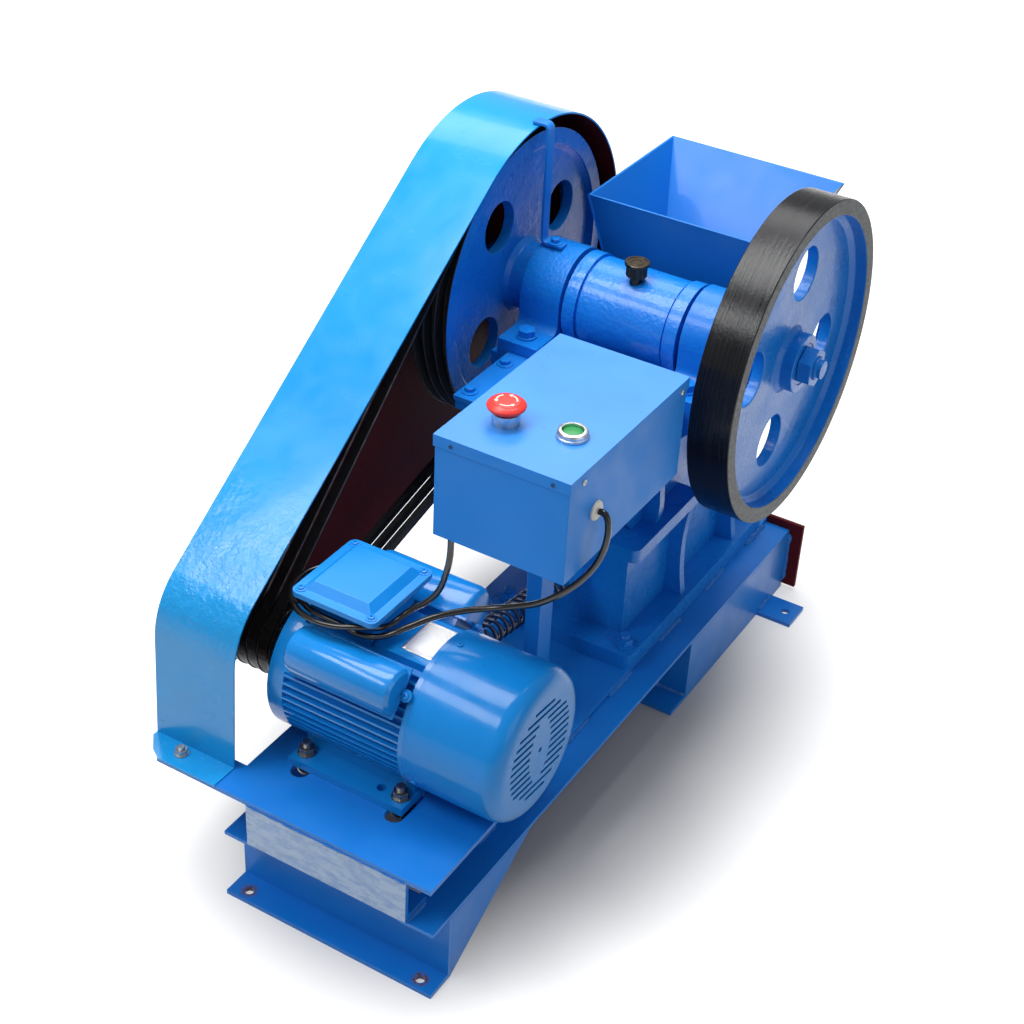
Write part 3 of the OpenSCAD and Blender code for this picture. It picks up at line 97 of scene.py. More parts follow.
def add_camera():
    a, e = CAMERA_AZIMUTH, CAMERA_ELEVATION
    back = Vector((math.sin(a) * math.cos(e), -math.cos(a) * math.cos(e), math.sin(e)))
    level = Vector((math.cos(a), math.sin(a), 0))
    rise = back.cross(level)
    right = level * math.cos(CAMERA_ROLL) + rise * math.sin(CAMERA_ROLL)
    up = rise * math.cos(CAMERA_ROLL) - level * math.sin(CAMERA_ROLL)
    data = bpy.data.cameras.new("camera")
    data.lens = CAMERA_LENS
    data.sensor_width = SENSOR
    data.clip_start = 0.05
    data.clip_end = 50
    camera = bpy.data.objects.new("camera", data)
    camera.matrix_world = Matrix.Translation(CAMERA_AT) @ Matrix((right, up, back)).transposed().to_4x4()
    bpy.context.scene.collection.objects.link(camera)
    bpy.context.scene.camera = camera


add_camera()


# Materials
class Look:
    """A Principled material fed by textures in the object's own coordinates."""

    def __init__(self, name, colour, roughness, metallic=0.0):
        self.material = bpy.data.materials.new(name)
        self.material.use_nodes = True
        self.tree = self.material.node_tree
        self.shader = self.tree.nodes["Principled BSDF"]
        self.place = self.add("ShaderNodeTexCoord").outputs["Object"]
        self.normal = None
        self.set("Base Color", (*colour, 1))
        self.set("Roughness", roughness)
        self.set("Metallic", metallic)
        self.material.diffuse_color = (*colour, 1)

    def add(self, kind, **settings):
        node = self.tree.nodes.new(kind)
        for key, value in settings.items():
            setattr(node, key, value)
        return node

    def feed(self, node, socket, value):
        """Links an output to a socket, or sets the socket to a plain value."""
        if isinstance(value, bpy.types.NodeSocket):
            self.tree.links.new(value, node.inputs[socket])
        else:
            node.inputs[socket].default_value = value

    def set(self, socket, value):
        self.feed(self.shader, socket, value)

    def mapped(self, location=(0, 0, 0), stretch=(1, 1, 1)):
        """The object's coordinates, stretched and then moved."""
        mapping = self.add("ShaderNodeMapping")
        self.feed(mapping, "Vector", self.place)
        self.feed(mapping, "Location", location)
        self.feed(mapping, "Scale", stretch)
        return mapping.outputs[0]

    def noise(self, scale, detail=3.0, rough=0.5, stretch=(1, 1, 1)):
        texture = self.add("ShaderNodeTexNoise")
        self.feed(texture, "Vector", self.mapped(stretch=stretch))
        self.feed(texture, "Scale", scale)
        self.feed(texture, "Detail", detail)
        self.feed(texture, "Roughness", rough)
        return texture.outputs["Fac"]

    def math(self, operation, a, b=0.0):
        node = self.add("ShaderNodeMath", operation=operation)
        self.feed(node, 0, a)
        self.feed(node, 1, b)
        return node.outputs[0]

    def span(self, value, start, end, to_start=0.0, to_end=1.0, kind="LINEAR"):
        """Value from start to end, taken to another span and held at its ends."""
        node = self.add("ShaderNodeMapRange", interpolation_type=kind)
        for socket, number in enumerate((value, start, end, to_start, to_end)):
            self.feed(node, socket, number)
        return node.outputs[0]

    def spread(self, texture, start, end):
        """The middle of a noise's range, taken to a span."""
        return self.span(texture, 0.3, 0.7, start, end)

    def blend(self, share, first, second):
        node = self.add("ShaderNodeMix", data_type="RGBA")
        self.feed(node, "Factor", share)
        for socket, colour in (("A", first), ("B", second)):
            slot = next(s for s in node.inputs if s.name == socket and s.type == "RGBA")
            if isinstance(colour, bpy.types.NodeSocket):
                self.tree.links.new(colour, slot)
            else:
                slot.default_value = (*colour, 1)
        return next(s for s in node.outputs if s.type == "RGBA")

    def height(self):
        split = self.add("ShaderNodeSeparateXYZ")
        self.feed(split, 0, self.place)
        return split.outputs["Z"]

    def near(self, spot, inner, outer):
        """One within the inner distance of a spot, falling to nothing at the outer one."""
        reach = self.add("ShaderNodeVectorMath", operation="DISTANCE")
        self.feed(reach, 0, self.place)
        self.feed(reach, 1, spot)
        return self.span(reach.outputs["Value"], inner, outer, 1.0, 0.0)

    def bump(self, height, distance):
        """Adds one layer of relief, with distance its depth."""
        node = self.add("ShaderNodeBump")
        self.feed(node, "Height", height)
        self.feed(node, "Distance", distance)
        self.feed(node, "Strength", 1.0)
        if self.normal:
            self.feed(node, "Normal", self.normal)
        self.normal = node.outputs[0]
        self.set("Normal", self.normal)


def shade(colour, factor):
    return tuple(c * factor for c in colour)


MACHINE_BLUE = (0.006, 0.19, 0.66)
MOTOR_BLUE = (0.007, 0.235, 0.68)
BOX_BLUE = (0.012, 0.225, 0.74)
GUARD_BLUE = (0.009, 0.295, 0.70)
# Painted sheen: pale blues for the channel fronts, standing in for light reflected off their brushed paint
PAINTED_SHEEN_BLUE = (0.13, 0.31, 0.64)
SHEEN_STROKE_DARK = (0.16, 0.32, 0.62)
SHEEN_STROKE_PALE = (0.34, 0.49, 0.71)
BLACK = (0.012, 0.012, 0.013)
TREAD_DARK = (0.003, 0.003, 0.004)
TREAD_PALE = (0.011, 0.012, 0.016)
PRIMER = (0.115, 0.010, 0.013)
RUST = (0.16, 0.05, 0.02)
STEEL = (0.50, 0.51, 0.52)

RUST_FULL = 7.5 * MM
RUST_END = 11.5 * MM
WRINKLE_DEPTH = 3.2 * MM
DROP_DEPTH = 0.5 * MM
FINE_PEEL = 0.04 * MM
COARSE_PEEL = 0.06 * MM
# Heights of the guard's wrinkled paint: where it starts, is full, stops being full, and ends
GUARD_WRINKLE = (0.27, 0.33, 0.38, 0.45)


def stain(look, paint, spot):
    """Rust round a hole, with a ragged edge."""
    ragged = look.span(look.noise(300, 4), 0.35, 0.6)
    share = look.math("MULTIPLY", look.near(spot, RUST_FULL, RUST_END), ragged)
    return look.blend(share, paint, RUST)


def wrinkles(look, start, full, fade, end):
    """Thick paint that has run and dripped between two heights."""
    band = look.math("MULTIPLY", look.span(look.height(), start, full),
                     look.span(look.height(), fade, end, 1.0, 0.0))
    look.bump(look.math("MULTIPLY", band, look.noise(38, 4, 0.62)), WRINKLE_DEPTH)
    drops = look.span(look.noise(190, 1), 0.66, 0.74)
    look.bump(look.math("MULTIPLY", band, drops), DROP_DEPTH)


def enamel(name, colour, roughness=0.22, wave=0.0, cast=0.0, peel=FINE_PEEL, gloss=0.35, coat=0.15,
           rust=(), wrinkle=None):
    """Blue paint: slow change of shade, uneven gloss, chips, orange peel, and the form's own relief."""
    look = Look(name, colour, roughness)
    patches = look.span(look.noise(7, 4), 0.35, 0.65)
    chips = look.span(look.noise(150, 3), 0.745, 0.76)
    paint = look.blend(patches, shade(colour, 0.94), shade(colour, 1.06))
    paint = look.blend(look.math("MULTIPLY", chips, 0.6), paint, shade(colour, 0.3))
    for spot in rust:
        paint = stain(look, paint, spot)
    look.set("Base Color", paint)
    look.set("Roughness", look.spread(look.noise(28, 5), roughness - 0.06, roughness + 0.1))
    look.set("Specular IOR Level", gloss)
    look.set("Coat Weight", coat)
    look.set("Coat Roughness", 0.07)
    if wave:
        look.bump(look.noise(11, 2), wave)
    if cast:
        look.bump(look.noise(60, 2), cast)
        look.bump(look.noise(240, 3, 0.55), cast * 0.7)
    if wrinkle:
        wrinkles(look, *wrinkle)
    look.bump(look.noise(900, 2), peel)
    return look.material


def steel(name, colour=STEEL, roughness=0.34, streak=(1, 1, 1)):
    look = Look(name, colour, roughness, metallic=1.0)
    worn = look.noise(160, 4, stretch=streak)
    look.set("Base Color", look.blend(worn, shade(colour, 0.5), shade(colour, 1.3)))
    rubbed = look.noise(300, 3, stretch=streak)
    look.set("Roughness", look.spread(rubbed, roughness - 0.1, roughness + 0.15))
    look.bump(look.noise(700, 3, stretch=streak), 0.04 * MM)
    return look.material


def plastic(name, colour, roughness=0.25, gloss=0.5, coat=0.0):
    look = Look(name, colour, roughness)
    look.set("Base Color", look.blend(look.noise(60, 3), shade(colour, 0.9), shade(colour, 1.1)))
    look.set("Roughness", look.spread(look.noise(120, 3), roughness - 0.04, roughness + 0.06))
    look.set("Specular IOR Level", gloss)
    look.set("Coat Weight", coat)
    look.bump(look.noise(1500, 2), 0.01 * MM)
    return look.material


def rubber(name, colour=BLACK, roughness=0.5):
    look = Look(name, colour, roughness)
    look.set("Base Color", look.blend(look.noise(180, 5), shade(colour, 0.7), shade(colour, 2.2)))
    look.set("Roughness", look.spread(look.noise(90, 3), roughness - 0.12, roughness + 0.12))
    look.bump(look.noise(1300, 2), 0.03 * MM)
    return look.material


def tread(name):
    """Black brushed paint with fine streaks round the wheel."""
    look = Look(name, BLACK, 0.26)
    streaks = look.noise(9, 5, 0.6, stretch=(60, 1, 1))
    look.set("Base Color", look.blend(look.span(streaks, 0.35, 0.7), TREAD_DARK, TREAD_PALE))
    look.set("Roughness", look.spread(streaks, 0.15, 0.26))
    look.set("Specular IOR Level", 0.3)
    look.bump(streaks, 0.25 * MM)
    look.bump(look.noise(260, 4), 0.22 * MM)
    return look.material


def brushed(name):
    """Thick brushed paint over uneven metal, its pale strokes a painted sheen in the base colour."""
    look = Look(name, PAINTED_SHEEN_BLUE, 0.22)
    strokes_and_sheen = look.noise(55, 6, 0.7, stretch=(0.7, 1, 1.8))
    look.set("Base Color", look.blend(look.span(strokes_and_sheen, 0.38, 0.58), SHEEN_STROKE_DARK, SHEEN_STROKE_PALE))
    look.set("Roughness", look.spread(strokes_and_sheen, 0.18, 0.36))
    look.set("Coat Weight", 0.5)
    look.bump(strokes_and_sheen, 1.8 * MM)
    look.bump(look.noise(170, 3), 0.3 * MM)
    return look.material


FOOT_T = 6 * MM
FOOT_HOLE_X = high("front_foot").x - 22 * MM
FOOT_HOLES = [(FOOT_HOLE_X, 0, FOOT_T), (-FOOT_HOLE_X, 0, FOOT_T)]
LOOKS = {
    "plate": enamel("plate_enamel", MACHINE_BLUE, 0.36, wave=0.6 * MM),
    # Painted shade: a darker copy of the machine blue for the hopper's front and underside.
    "shaded_plate": enamel("hopper_painted_shade_enamel", shade(MACHINE_BLUE, 0.55), 0.34, wave=0.6 * MM),
    "foot": enamel("foot_enamel", MACHINE_BLUE, 0.34, wave=0.6 * MM, rust=FOOT_HOLES),
    # Painted sheen on the channel fronts, in pale brush strokes.
    "sheen": brushed("channel_painted_sheen_enamel"),
    "casting": enamel("casting_enamel", MACHINE_BLUE, 0.27, cast=0.7 * MM, gloss=0.28),
    # Painted light: a lighter copy of the machine blue for the top-lit barrel.
    "barrel": enamel("barrel_painted_light_enamel", shade(MACHINE_BLUE, 1.1), 0.24, cast=1 * MM, coat=0.3),
    "guard": enamel("guard_enamel", GUARD_BLUE, 0.2, wave=1.6 * MM, coat=0.25, wrinkle=GUARD_WRINKLE),
    "motor": enamel("motor_enamel", MOTOR_BLUE, 0.16, wave=0.3 * MM, gloss=0.3, coat=0.25),
    # Painted light: a lighter copy of the motor blue for the top-lit terminal lid and its screws.
    "lid": enamel("lid_painted_light_enamel", shade(MOTOR_BLUE, 1.05), 0.34, coat=0.1),
    "cover": enamel("cover_enamel", MOTOR_BLUE, 0.19, wave=0.3 * MM, gloss=0.2),
    "box": enamel("box_enamel", BOX_BLUE, 0.42, peel=COARSE_PEEL, gloss=0.25, coat=0.0),
    "box_top": enamel("box_top_enamel", BOX_BLUE, 0.4, peel=COARSE_PEEL, gloss=0.9, coat=0.0),
    "weld": enamel("weld_enamel", shade(MACHINE_BLUE, 0.85), 0.36, cast=0.4 * MM),
    "tread": tread("flywheel_tread"),
    "black": plastic("black_enamel", (0.014, 0.014, 0.015), 0.24),
    "grey_rim": steel("worn_rim", (0.085, 0.09, 0.095), 0.5),
    "primer": plastic("red_primer", PRIMER, 0.6, gloss=0.1),
    "steel": steel("zinc_steel"),
    "dark_steel": steel("dark_steel", (0.30, 0.29, 0.275), 0.36),
    # Painted shade: a near-black copy of the box blue, so the end screws read as dark recesses.
    "shaded_screw": enamel("screw_painted_shade_enamel", shade(BOX_BLUE, 0.25), 0.4),
    "bright": steel("name_plate_metal", (0.78, 0.78, 0.77), 0.3, streak=(1, 30, 1)),
    "bronze": steel("dark_bronze", (0.10, 0.078, 0.055), 0.36),
    "jaw": steel("jaw_steel", (0.16, 0.155, 0.15), 0.45),
    "spring": plastic("spring_enamel", (0.012, 0.026, 0.07), 0.25),
    "belt": rubber("belt_rubber"),
    "lead": plastic("lead_rubber", (0.007, 0.007, 0.008), 0.2, coat=0.3),
    "collar": steel("silver_collar", (0.70, 0.71, 0.73), 0.36),
    "red": plastic("red_plastic", (0.76, 0.032, 0.024), 0.38, coat=0.1),
    "green": plastic("green_plastic", (0.006, 0.26, 0.06), 0.34, coat=0.1),
    "white": plastic("white_plastic", (0.72, 0.71, 0.64), 0.35),
}

NODE_LOOKS = {
    "plate": ["base_rails", "front_gussets", "deck_plate", "rear_pedestal", "motor_plate", "cover_plate",
              "box_post", "guard_stay"],
    "foot": ["front_foot"],
    "casting": ["crusher_frame", "bearing_block_left", "bearing_block_right", "shaft_nuts",
                "bearing_bolts", "tension_rod", "eccentric_shaft"],
    "barrel": ["swing_jaw"],
    "motor": ["motor_body", "terminal_box", "capacitor_covers"],
    "lid": ["terminal_box_lid"],
    "cover": ["motor_fan_cover"],
    "box": ["control_box"],
    "primer": ["rear_end_plate"],
    "dark_steel": ["motor_bolts"],
    "steel": ["motor_shaft"],
    "jaw": ["fixed_jaw_plate", "swing_jaw_plate", "cheek_plates", "toggle_plate"],
    "spring": ["tension_spring"],
    "black": ["motor_pulley"],
    "bronze": ["grease_cup"],
    "belt": ["v_belts"],
    "collar": ["stop_button_collar", "start_button_ring"],
    "red": ["stop_button"],
    "green": ["start_button"],
    "white": ["cord_gland"],
    "lead": ["start_lead", "motor_lead"],
}

# How far in from a wheel's edge its tread, rim face and grooves are looked for
TREAD_DEPTH = 3.5 * MM
RIM_DEPTH = 17.5 * MM
GROOVE_DEPTH = 18 * MM
# Planes that part the guard's side and foot, and the fronts of hopper and channels, from the rest
GUARD_SIDE_X = low("belt_guard").x + 4 * MM
GUARD_FOOT_Z = low("belt_guard").z + 7 * MM
HOPPER_FRONT_Y = low("hopper").y + 2 * MM
CHANNEL_FRONT_Y = low("motor_channels").y + 4 * MM


def wheel_face(middle, normal):
    arm = Vector((0, middle.y, middle.z)) - SHAFT
    if arm.length > FLYWHEEL_R - TREAD_DEPTH and abs(normal.x) < 0.5:
        return "tread"
    if arm.length > FLYWHEEL_R - RIM_DEPTH and abs(normal.x) > 0.5:
        return "grey_rim"
    return "casting"


def groove_face(middle, normal):
    """The outward faces of the pulley's grooves take the belts' black rubber look."""
    arm = Vector((0, middle.y, middle.z)) - SHAFT
    outward = abs(normal.x) < 0.99 and arm.dot(normal) > 0
    return "belt" if outward and arm.length > PULLEY_R - GROOVE_DEPTH else "casting"


def guard_face(middle, normal):
    """Inside faces look towards the line between the two pulleys."""
    if abs(normal.x) > 0.7:
        return "primer" if normal.x > 0 and middle.x < GUARD_SIDE_X else "guard"
    run = SHAFT - MOTOR
    here = Vector((0, middle.y, middle.z))
    along = min(1, max(0, (here - MOTOR).dot(run) / run.length_squared))
    inward = (MOTOR + run * along - here).dot(normal) > 0
    return "primer" if inward and middle.z > GUARD_FOOT_Z else "guard"


def lid_face(middle, normal):
    return "box_top" if normal.z > 0.9 else "box"


def bolt_face(middle, normal):
    """The bolt of the guard's foot, in front of the motor, isn't painted."""
    return "steel" if middle.y < MOTOR.y else "casting"


def hopper_face(middle, normal):
    """The hopper's front and its down-facing outside get a darker copy of the blue as painted shade."""
    front = normal.y < -0.9 and middle.y < HOPPER_FRONT_Y
    return "shaded_plate" if front or normal.z < -0.1 else "plate"


def channel_face(middle, normal):
    return "sheen" if normal.y < -0.9 and middle.y < CHANNEL_FRONT_Y else "plate"


FACE_LOOKS = {
    "flywheel": (["tread", "grey_rim", "casting"], wheel_face),
    "belt_guard": (["guard", "primer"], guard_face),
    "control_box_lid": (["box", "box_top"], lid_face),
    "drive_pulley": (["casting", "belt"], groove_face),
    "frame_bolts": (["casting", "steel"], bolt_face),
    "hopper": (["plate", "shaded_plate"], hopper_face),
    "motor_channels": (["plate", "sheen"], channel_face),
}


def paint_faces(node, looks, choose):
    """Gives each face of a node the look that choose names from the face's middle and normal."""
    mesh = nodes[node].data
    mesh.materials.clear()
    for look in looks:
        mesh.materials.append(LOOKS[look])
    for face in mesh.polygons:
        face.material_index = looks.index(choose(face.center, face.normal))


def dress_nodes():
    for look, names in NODE_LOOKS.items():
        for name in names:
            nodes[name].data.materials.clear()
            nodes[name].data.materials.append(LOOKS[look])
    for node, (looks, choose) in FACE_LOOKS.items():
        paint_faces(node, looks, choose)


def smooth_faces(node):
    """Shades a faceted node by its welded form instead of the facets' own normals."""
    mesh = nodes[node].data
    for name in ("custom_normal", "sharp_edge", "sharp_face"):
        if name in mesh.attributes:
            mesh.attributes.remove(mesh.attributes[name])
    mesh.shade_smooth()


FLAT_ANGLE = math.radians(0.6)
SHARP_ANGLE = math.radians(28)
MERGE_DISTANCE = 0.01 * MM


def soften(obj, width):
    """Rounds an object's sharp edges, which are read from its flat faces."""
    weld = obj.modifiers.new("weld", "WELD")
    weld.merge_threshold = MERGE_DISTANCE
    flat = obj.modifiers.new("flat", "DECIMATE")
    flat.decimate_type = "DISSOLVE"
    flat.angle_limit = FLAT_ANGLE
    flat.delimit = {"MATERIAL"}
    edge = obj.modifiers.new("edge", "BEVEL")
    edge.width = width
    edge.segments = 2
    edge.limit_method = "ANGLE"
    edge.angle_limit = SHARP_ANGLE
    edge.harden_normals = True


EDGES = {
    2.2 * MM: ["crusher_frame", "bearing_block_left", "bearing_block_right", "swing_jaw", "drive_pulley"],
    1.4 * MM: ["flywheel", "control_box_lid", "control_box"],
    0.9 * MM: ["base_rails", "front_foot", "front_gussets", "deck_plate", "rear_pedestal", "rear_end_plate",
               "motor_channels", "motor_plate", "cover_plate", "box_post", "guard_stay", "terminal_box",
               "terminal_box_lid", "toggle_plate", "cheek_plates"],
    0.6 * MM: ["belt_guard", "hopper", "motor_body", "motor_fan_cover", "motor_bolts", "frame_bolts",
               "bearing_bolts", "shaft_nuts", "tension_rod", "eccentric_shaft", "motor_shaft", "motor_pulley",
               "fixed_jaw_plate", "swing_jaw_plate", "capacitor_covers"],
    0.4 * MM: ["stop_button", "stop_button_collar", "start_button", "start_button_ring", "cord_gland"],
}
dress_nodes()
for width, names in EDGES.items():
    for name in names:
        smooth_faces(name)
        soften(nodes[name], width)


# Leads, along the routes of the CAD part
LEAD_DIAMETER = 7 * MM
START_ROUTE = [
    (0.036, 0.162, 0.462), (0.036, 0.162, 0.45), (0.036, 0.16, 0.436), (0.034, 0.158, 0.421),
    (0.03, 0.157, 0.405), (0.024, 0.155, 0.391), (0.014, 0.151, 0.378), (0.001, 0.145, 0.367),
    (-0.007, 0.134, 0.359), (-0.009, 0.121, 0.358), (-0.012, 0.108, 0.361), (-0.021, 0.097, 0.364),
    (-0.037, 0.088, 0.363), (-0.06, 0.081, 0.36), (-0.087, 0.081, 0.358), (-0.112, 0.091, 0.357),
    (-0.13, 0.111, 0.357), (-0.138, 0.134, 0.356), (-0.136, 0.155, 0.355), (-0.126, 0.17, 0.355),
    (-0.113, 0.176, 0.355), (-0.102, 0.176, 0.355),
]
MOTOR_ROUTE = [
    (0.175, 0.215, 0.522), (0.18, 0.215, 0.522), (0.185, 0.214, 0.518), (0.188, 0.212, 0.509),
    (0.189, 0.209, 0.497), (0.187, 0.206, 0.482), (0.182, 0.201, 0.466), (0.173, 0.195, 0.45),
    (0.16, 0.189, 0.434), (0.145, 0.186, 0.419), (0.128, 0.185, 0.405), (0.109, 0.184, 0.394),
    (0.09, 0.182, 0.385), (0.07, 0.175, 0.379), (0.05, 0.162, 0.375), (0.03, 0.142, 0.371),
    (0.012, 0.12, 0.364), (-0.006, 0.104, 0.355), (-0.03, 0.097, 0.35), (-0.058, 0.098, 0.351),
    (-0.086, 0.099, 0.351), (-0.108, 0.104, 0.351), (-0.124, 0.117, 0.351), (-0.128, 0.134, 0.351),
    (-0.121, 0.148, 0.351), (-0.111, 0.154, 0.351), (-0.102, 0.154, 0.351),
]


def add_lead(name, route, node):
    points = [Vector(p) for p in route]
    curve = bpy.data.curves.new(name, "CURVE")
    curve.dimensions = "3D"
    curve.bevel_depth = LEAD_DIAMETER / 2
    curve.bevel_resolution = 4
    curve.resolution_u = 6
    curve.use_fill_caps = True
    spline = curve.splines.new("BEZIER")
    spline.bezier_points.add(len(points) - 1)
    for knot, point in zip(spline.bezier_points, points):
        knot.co = point
        knot.handle_left_type = knot.handle_right_type = "AUTO"
    curve.materials.append(LOOKS["lead"])
    lead = bpy.data.objects.new(name, curve)
    bpy.context.scene.collection.objects.link(lead)
    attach(lead, "root")
    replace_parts(lead, node)


add_lead("start_lead_cord", START_ROUTE, "start_lead")
add_lead("motor_lead_cord", MOTOR_ROUTE, "motor_lead")


# Detail pieces
CREASE_ANGLE = math.radians(32)
THREAD_STEPS = 18
WELD_LEG = 4 * MM
WELD_ARC = (0, 0.4, 0.8, 1.2, math.pi / 2)


def basis(axis):
    """Two unit vectors square to an axis, and the axis itself."""
    w = Vector(axis).normalized()
    u = (UP if abs(w.z) < 0.9 else Vector((1, 0, 0))).cross(w).normalized()
    return u, w.cross(u), w


class Shape:
    """Collects the vertices and faces of one piece."""

    def __init__(self):
        self.points = []
        self.faces = []

    def skin(self, rows):
        """Joins closed rows of points one after another and closes both ends."""
        base, n = len(self.points), len(rows[0])
        for row in rows:
            self.points.extend(row)
        for i in range(len(rows) - 1):
            near, far = base + i * n, base + (i + 1) * n
            self.faces.extend((near + k, near + (k + 1) % n, far + (k + 1) % n, far + k) for k in range(n))
        last = base + (len(rows) - 1) * n
        self.faces.append(tuple(range(base + n - 1, base - 1, -1)))
        self.faces.append(tuple(range(last, last + n)))

    def turn(self, profile, at, axis=UP, sides=32, knurl=0.0):
        """A turned form from (radius, height) pairs; knurl pulls every other corner in."""
        u, v, w = basis(axis)
        spots = [2 * math.pi * k / sides for k in range(sides)]
        self.skin([[Vector(at) + w * h + (u * math.cos(t) + v * math.sin(t)) * (r - knurl * (k % 2))
                    for k, t in enumerate(spots)] for r, h in profile])

    def hexagon(self, at, axis, r, height):
        """A washer with a chamfered hexagon head on it."""
        washer = 0.26 * r
        self.turn([(1.55 * r, 0), (1.55 * r, 0.2 * r), (1.45 * r, washer)], at, axis)
        foot = Vector(at) + Vector(axis).normalized() * washer
        self.turn([(r, 0), (r, height - 0.1 * r), (0.88 * r, height)], foot, axis, 6)

    def screw(self, at, axis, r):
        """A pan head with a cross recess."""
        u, v, w = basis(axis)
        half, reach = 0.13 * r, 0.52 * r
        arm = [(reach, half), (half, half), (half, reach)]
        quarters = ((1, 0), (0, 1), (-1, 0), (0, -1))
        corners = [(x * c - y * s, x * s + y * c) for c, s in quarters for x, y in arm]
        cross = []
        for p, q in zip(corners, corners[1:] + corners[:1]):
            cross += [p, ((p[0] + q[0]) / 2, (p[1] + q[1]) / 2)]
        turns = [math.atan2(y, x) for x, y in cross]

        def place(x, y, h):
            return Vector(at) + u * x + v * y + w * h

        rows = [[place(q * r * math.cos(t), q * r * math.sin(t), h * r) for t in turns]
                for q, h in ((1, -0.1), (1, 0.22), (0.86, 0.42), (0.66, 0.5))]
        rows += [[place(x, y, h * r) for x, y in cross] for h in (0.52, 0.18)]
        self.skin(rows)

    def thread(self, at, axis, length, r, pitch):
        """A screw thread's ridge round a stud."""
        u, v, w = basis(axis)
        ridge = ((-0.2 * pitch, -0.4), (0.28 * pitch, 0), (-0.2 * pitch, 0.4))
        rows = []
        for i in range(int(THREAD_STEPS * length / pitch) + 1):
            t = 2 * math.pi * i / THREAD_STEPS
            out = u * math.cos(t) + v * math.sin(t)
            middle = Vector(at) + w * pitch * i / THREAD_STEPS
            rows.append([middle + out * (r + lift) + w * shift * pitch for lift, shift in ridge])
        self.skin(rows)

    def bead(self, start, end, a, b, leg=WELD_LEG):
        """A rippled weld along a corner between two directions."""
        start, end, a, b = Vector(start), Vector(end), Vector(a), Vector(b)
        run = end - start
        count = max(4, round(run.length / (0.35 * leg)))
        rows = []
        for i in range(count + 1):
            p = start + run * i / count
            ripple = 1 + 0.5 * noise.noise(p * 120) + 0.1 * (-1) ** i
            taper = min(1, 0.45 + 0.2 * min(i, count - i))
            arc = [p + (a * math.cos(t) + b * math.sin(t)) * leg * ripple * taper for t in WELD_ARC]
            rows.append([p - (a + b) * 0.25 * leg] + arc)
        self.skin(rows)

    def piece(self, name, look, slot, body="root", edge=0.0):
        mesh = bpy.data.meshes.new(name)
        mesh.from_pydata(self.points, [], self.faces)
        shell = bmesh.new()
        shell.from_mesh(mesh)
        bmesh.ops.recalc_face_normals(shell, faces=shell.faces)
        shell.to_mesh(mesh)
        shell.free()
        mesh.shade_smooth()
        mesh.set_sharp_from_angle(angle=CREASE_ANGLE)
        mesh.materials.append(LOOKS[look])
        obj = bpy.data.objects.new(name, mesh)
        bpy.context.scene.collection.objects.link(obj)
        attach(obj, body)
        if edge:
            soften(obj, edge)
        return obj


# Tension spring
SPRING_WIRE = 2.7 * MM
SPRING_COIL = 14 * MM
SPRING_TURNS = 14
SPRING_FROM = 23 * MM
SPRING_LENGTH = 192 * MM
SPRING_GAP = 0.1 * MM
SPRING_STEPS = 36
SPRING_SIDES = 12


def add_spring():
    """The tension spring as a smooth coil round the rod."""
    u, v, w = basis(ROD_ALONG)
    start = ROD_END + w * (SPRING_FROM + SPRING_WIRE + SPRING_GAP)
    lift = SPRING_LENGTH - 2 * SPRING_WIRE - 2 * SPRING_GAP
    count = SPRING_TURNS * SPRING_STEPS
    section = [2 * math.pi * k / SPRING_SIDES for k in range(SPRING_SIDES)]
    rows = []
    for i in range(count + 1):
        t = 2 * math.pi * i / SPRING_STEPS
        out = u * math.cos(t) + v * math.sin(t)
        middle = start + out * SPRING_COIL + w * lift * i / count
        rows.append([middle + (out * math.cos(q) + w * math.sin(q)) * SPRING_WIRE for q in section])
    shape = Shape()
    shape.skin(rows)
    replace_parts(shape.piece("spring_coil", "spring", "spring_steel"), "tension_spring")


# Cooling fan
FAN_X = 128
FAN_DISC = [(0.018, -0.004), (0.066, 0.001), (0.066, 0.003), (0.018, 0.006)]
FAN_BLADES = 8
BLADE_R = (0.022, 0.04, 0.062)
BLADE_HALF = 1.5 * MM
BLADE_X = (2, 22)


def add_fan():
    """The cooling fan behind the cover's slots."""
    shape = Shape()
    at = MOTOR + mm(FAN_X, 0, 0)
    shape.turn(FAN_DISC, at, (1, 0, 0), 64)
    corners = ((-1, BLADE_X[0]), (1, BLADE_X[0]), (1, BLADE_X[1]), (-1, BLADE_X[1]))
    for k in range(FAN_BLADES):
        t = 2 * math.pi * k / FAN_BLADES
        out = Vector((0, math.cos(t), math.sin(t)))
        across = Vector((0, -math.sin(t), math.cos(t))) * BLADE_HALF
        shape.skin([[at + out * r + across * s + mm(x, 0, 0) for s, x in corners] for r in BLADE_R])
    shape.piece("cooling_fan", "black", "black_paint", body="motor_rotor")


# Threads, each with its radius and pitch, and how much of them shows
M8 = (4 * MM, 1.1 * MM)
M10 = (5 * MM, 1.5 * MM)
M12 = (6 * MM, 1.7 * MM)
BOLT_END = 1 * MM
GUARD_THREAD = 2.2 * MM
FRAME_THREAD = 3.5 * MM
ROD_THREAD = 8 * MM
MOTOR_FEET_X = (-0.088, 0.037)
MOTOR_FEET_HALF = 70 * MM
MOTOR_NUT_TOP = 0.1825
GUARD_STUD = mm(-206, 3.4, 172.6)
FRAME_BOLTS_X = (-0.084, 0.084)
FRAME_BOLTS_Y = (0.5, 0.846)
FRAME_NUT_TOP = 0.1352


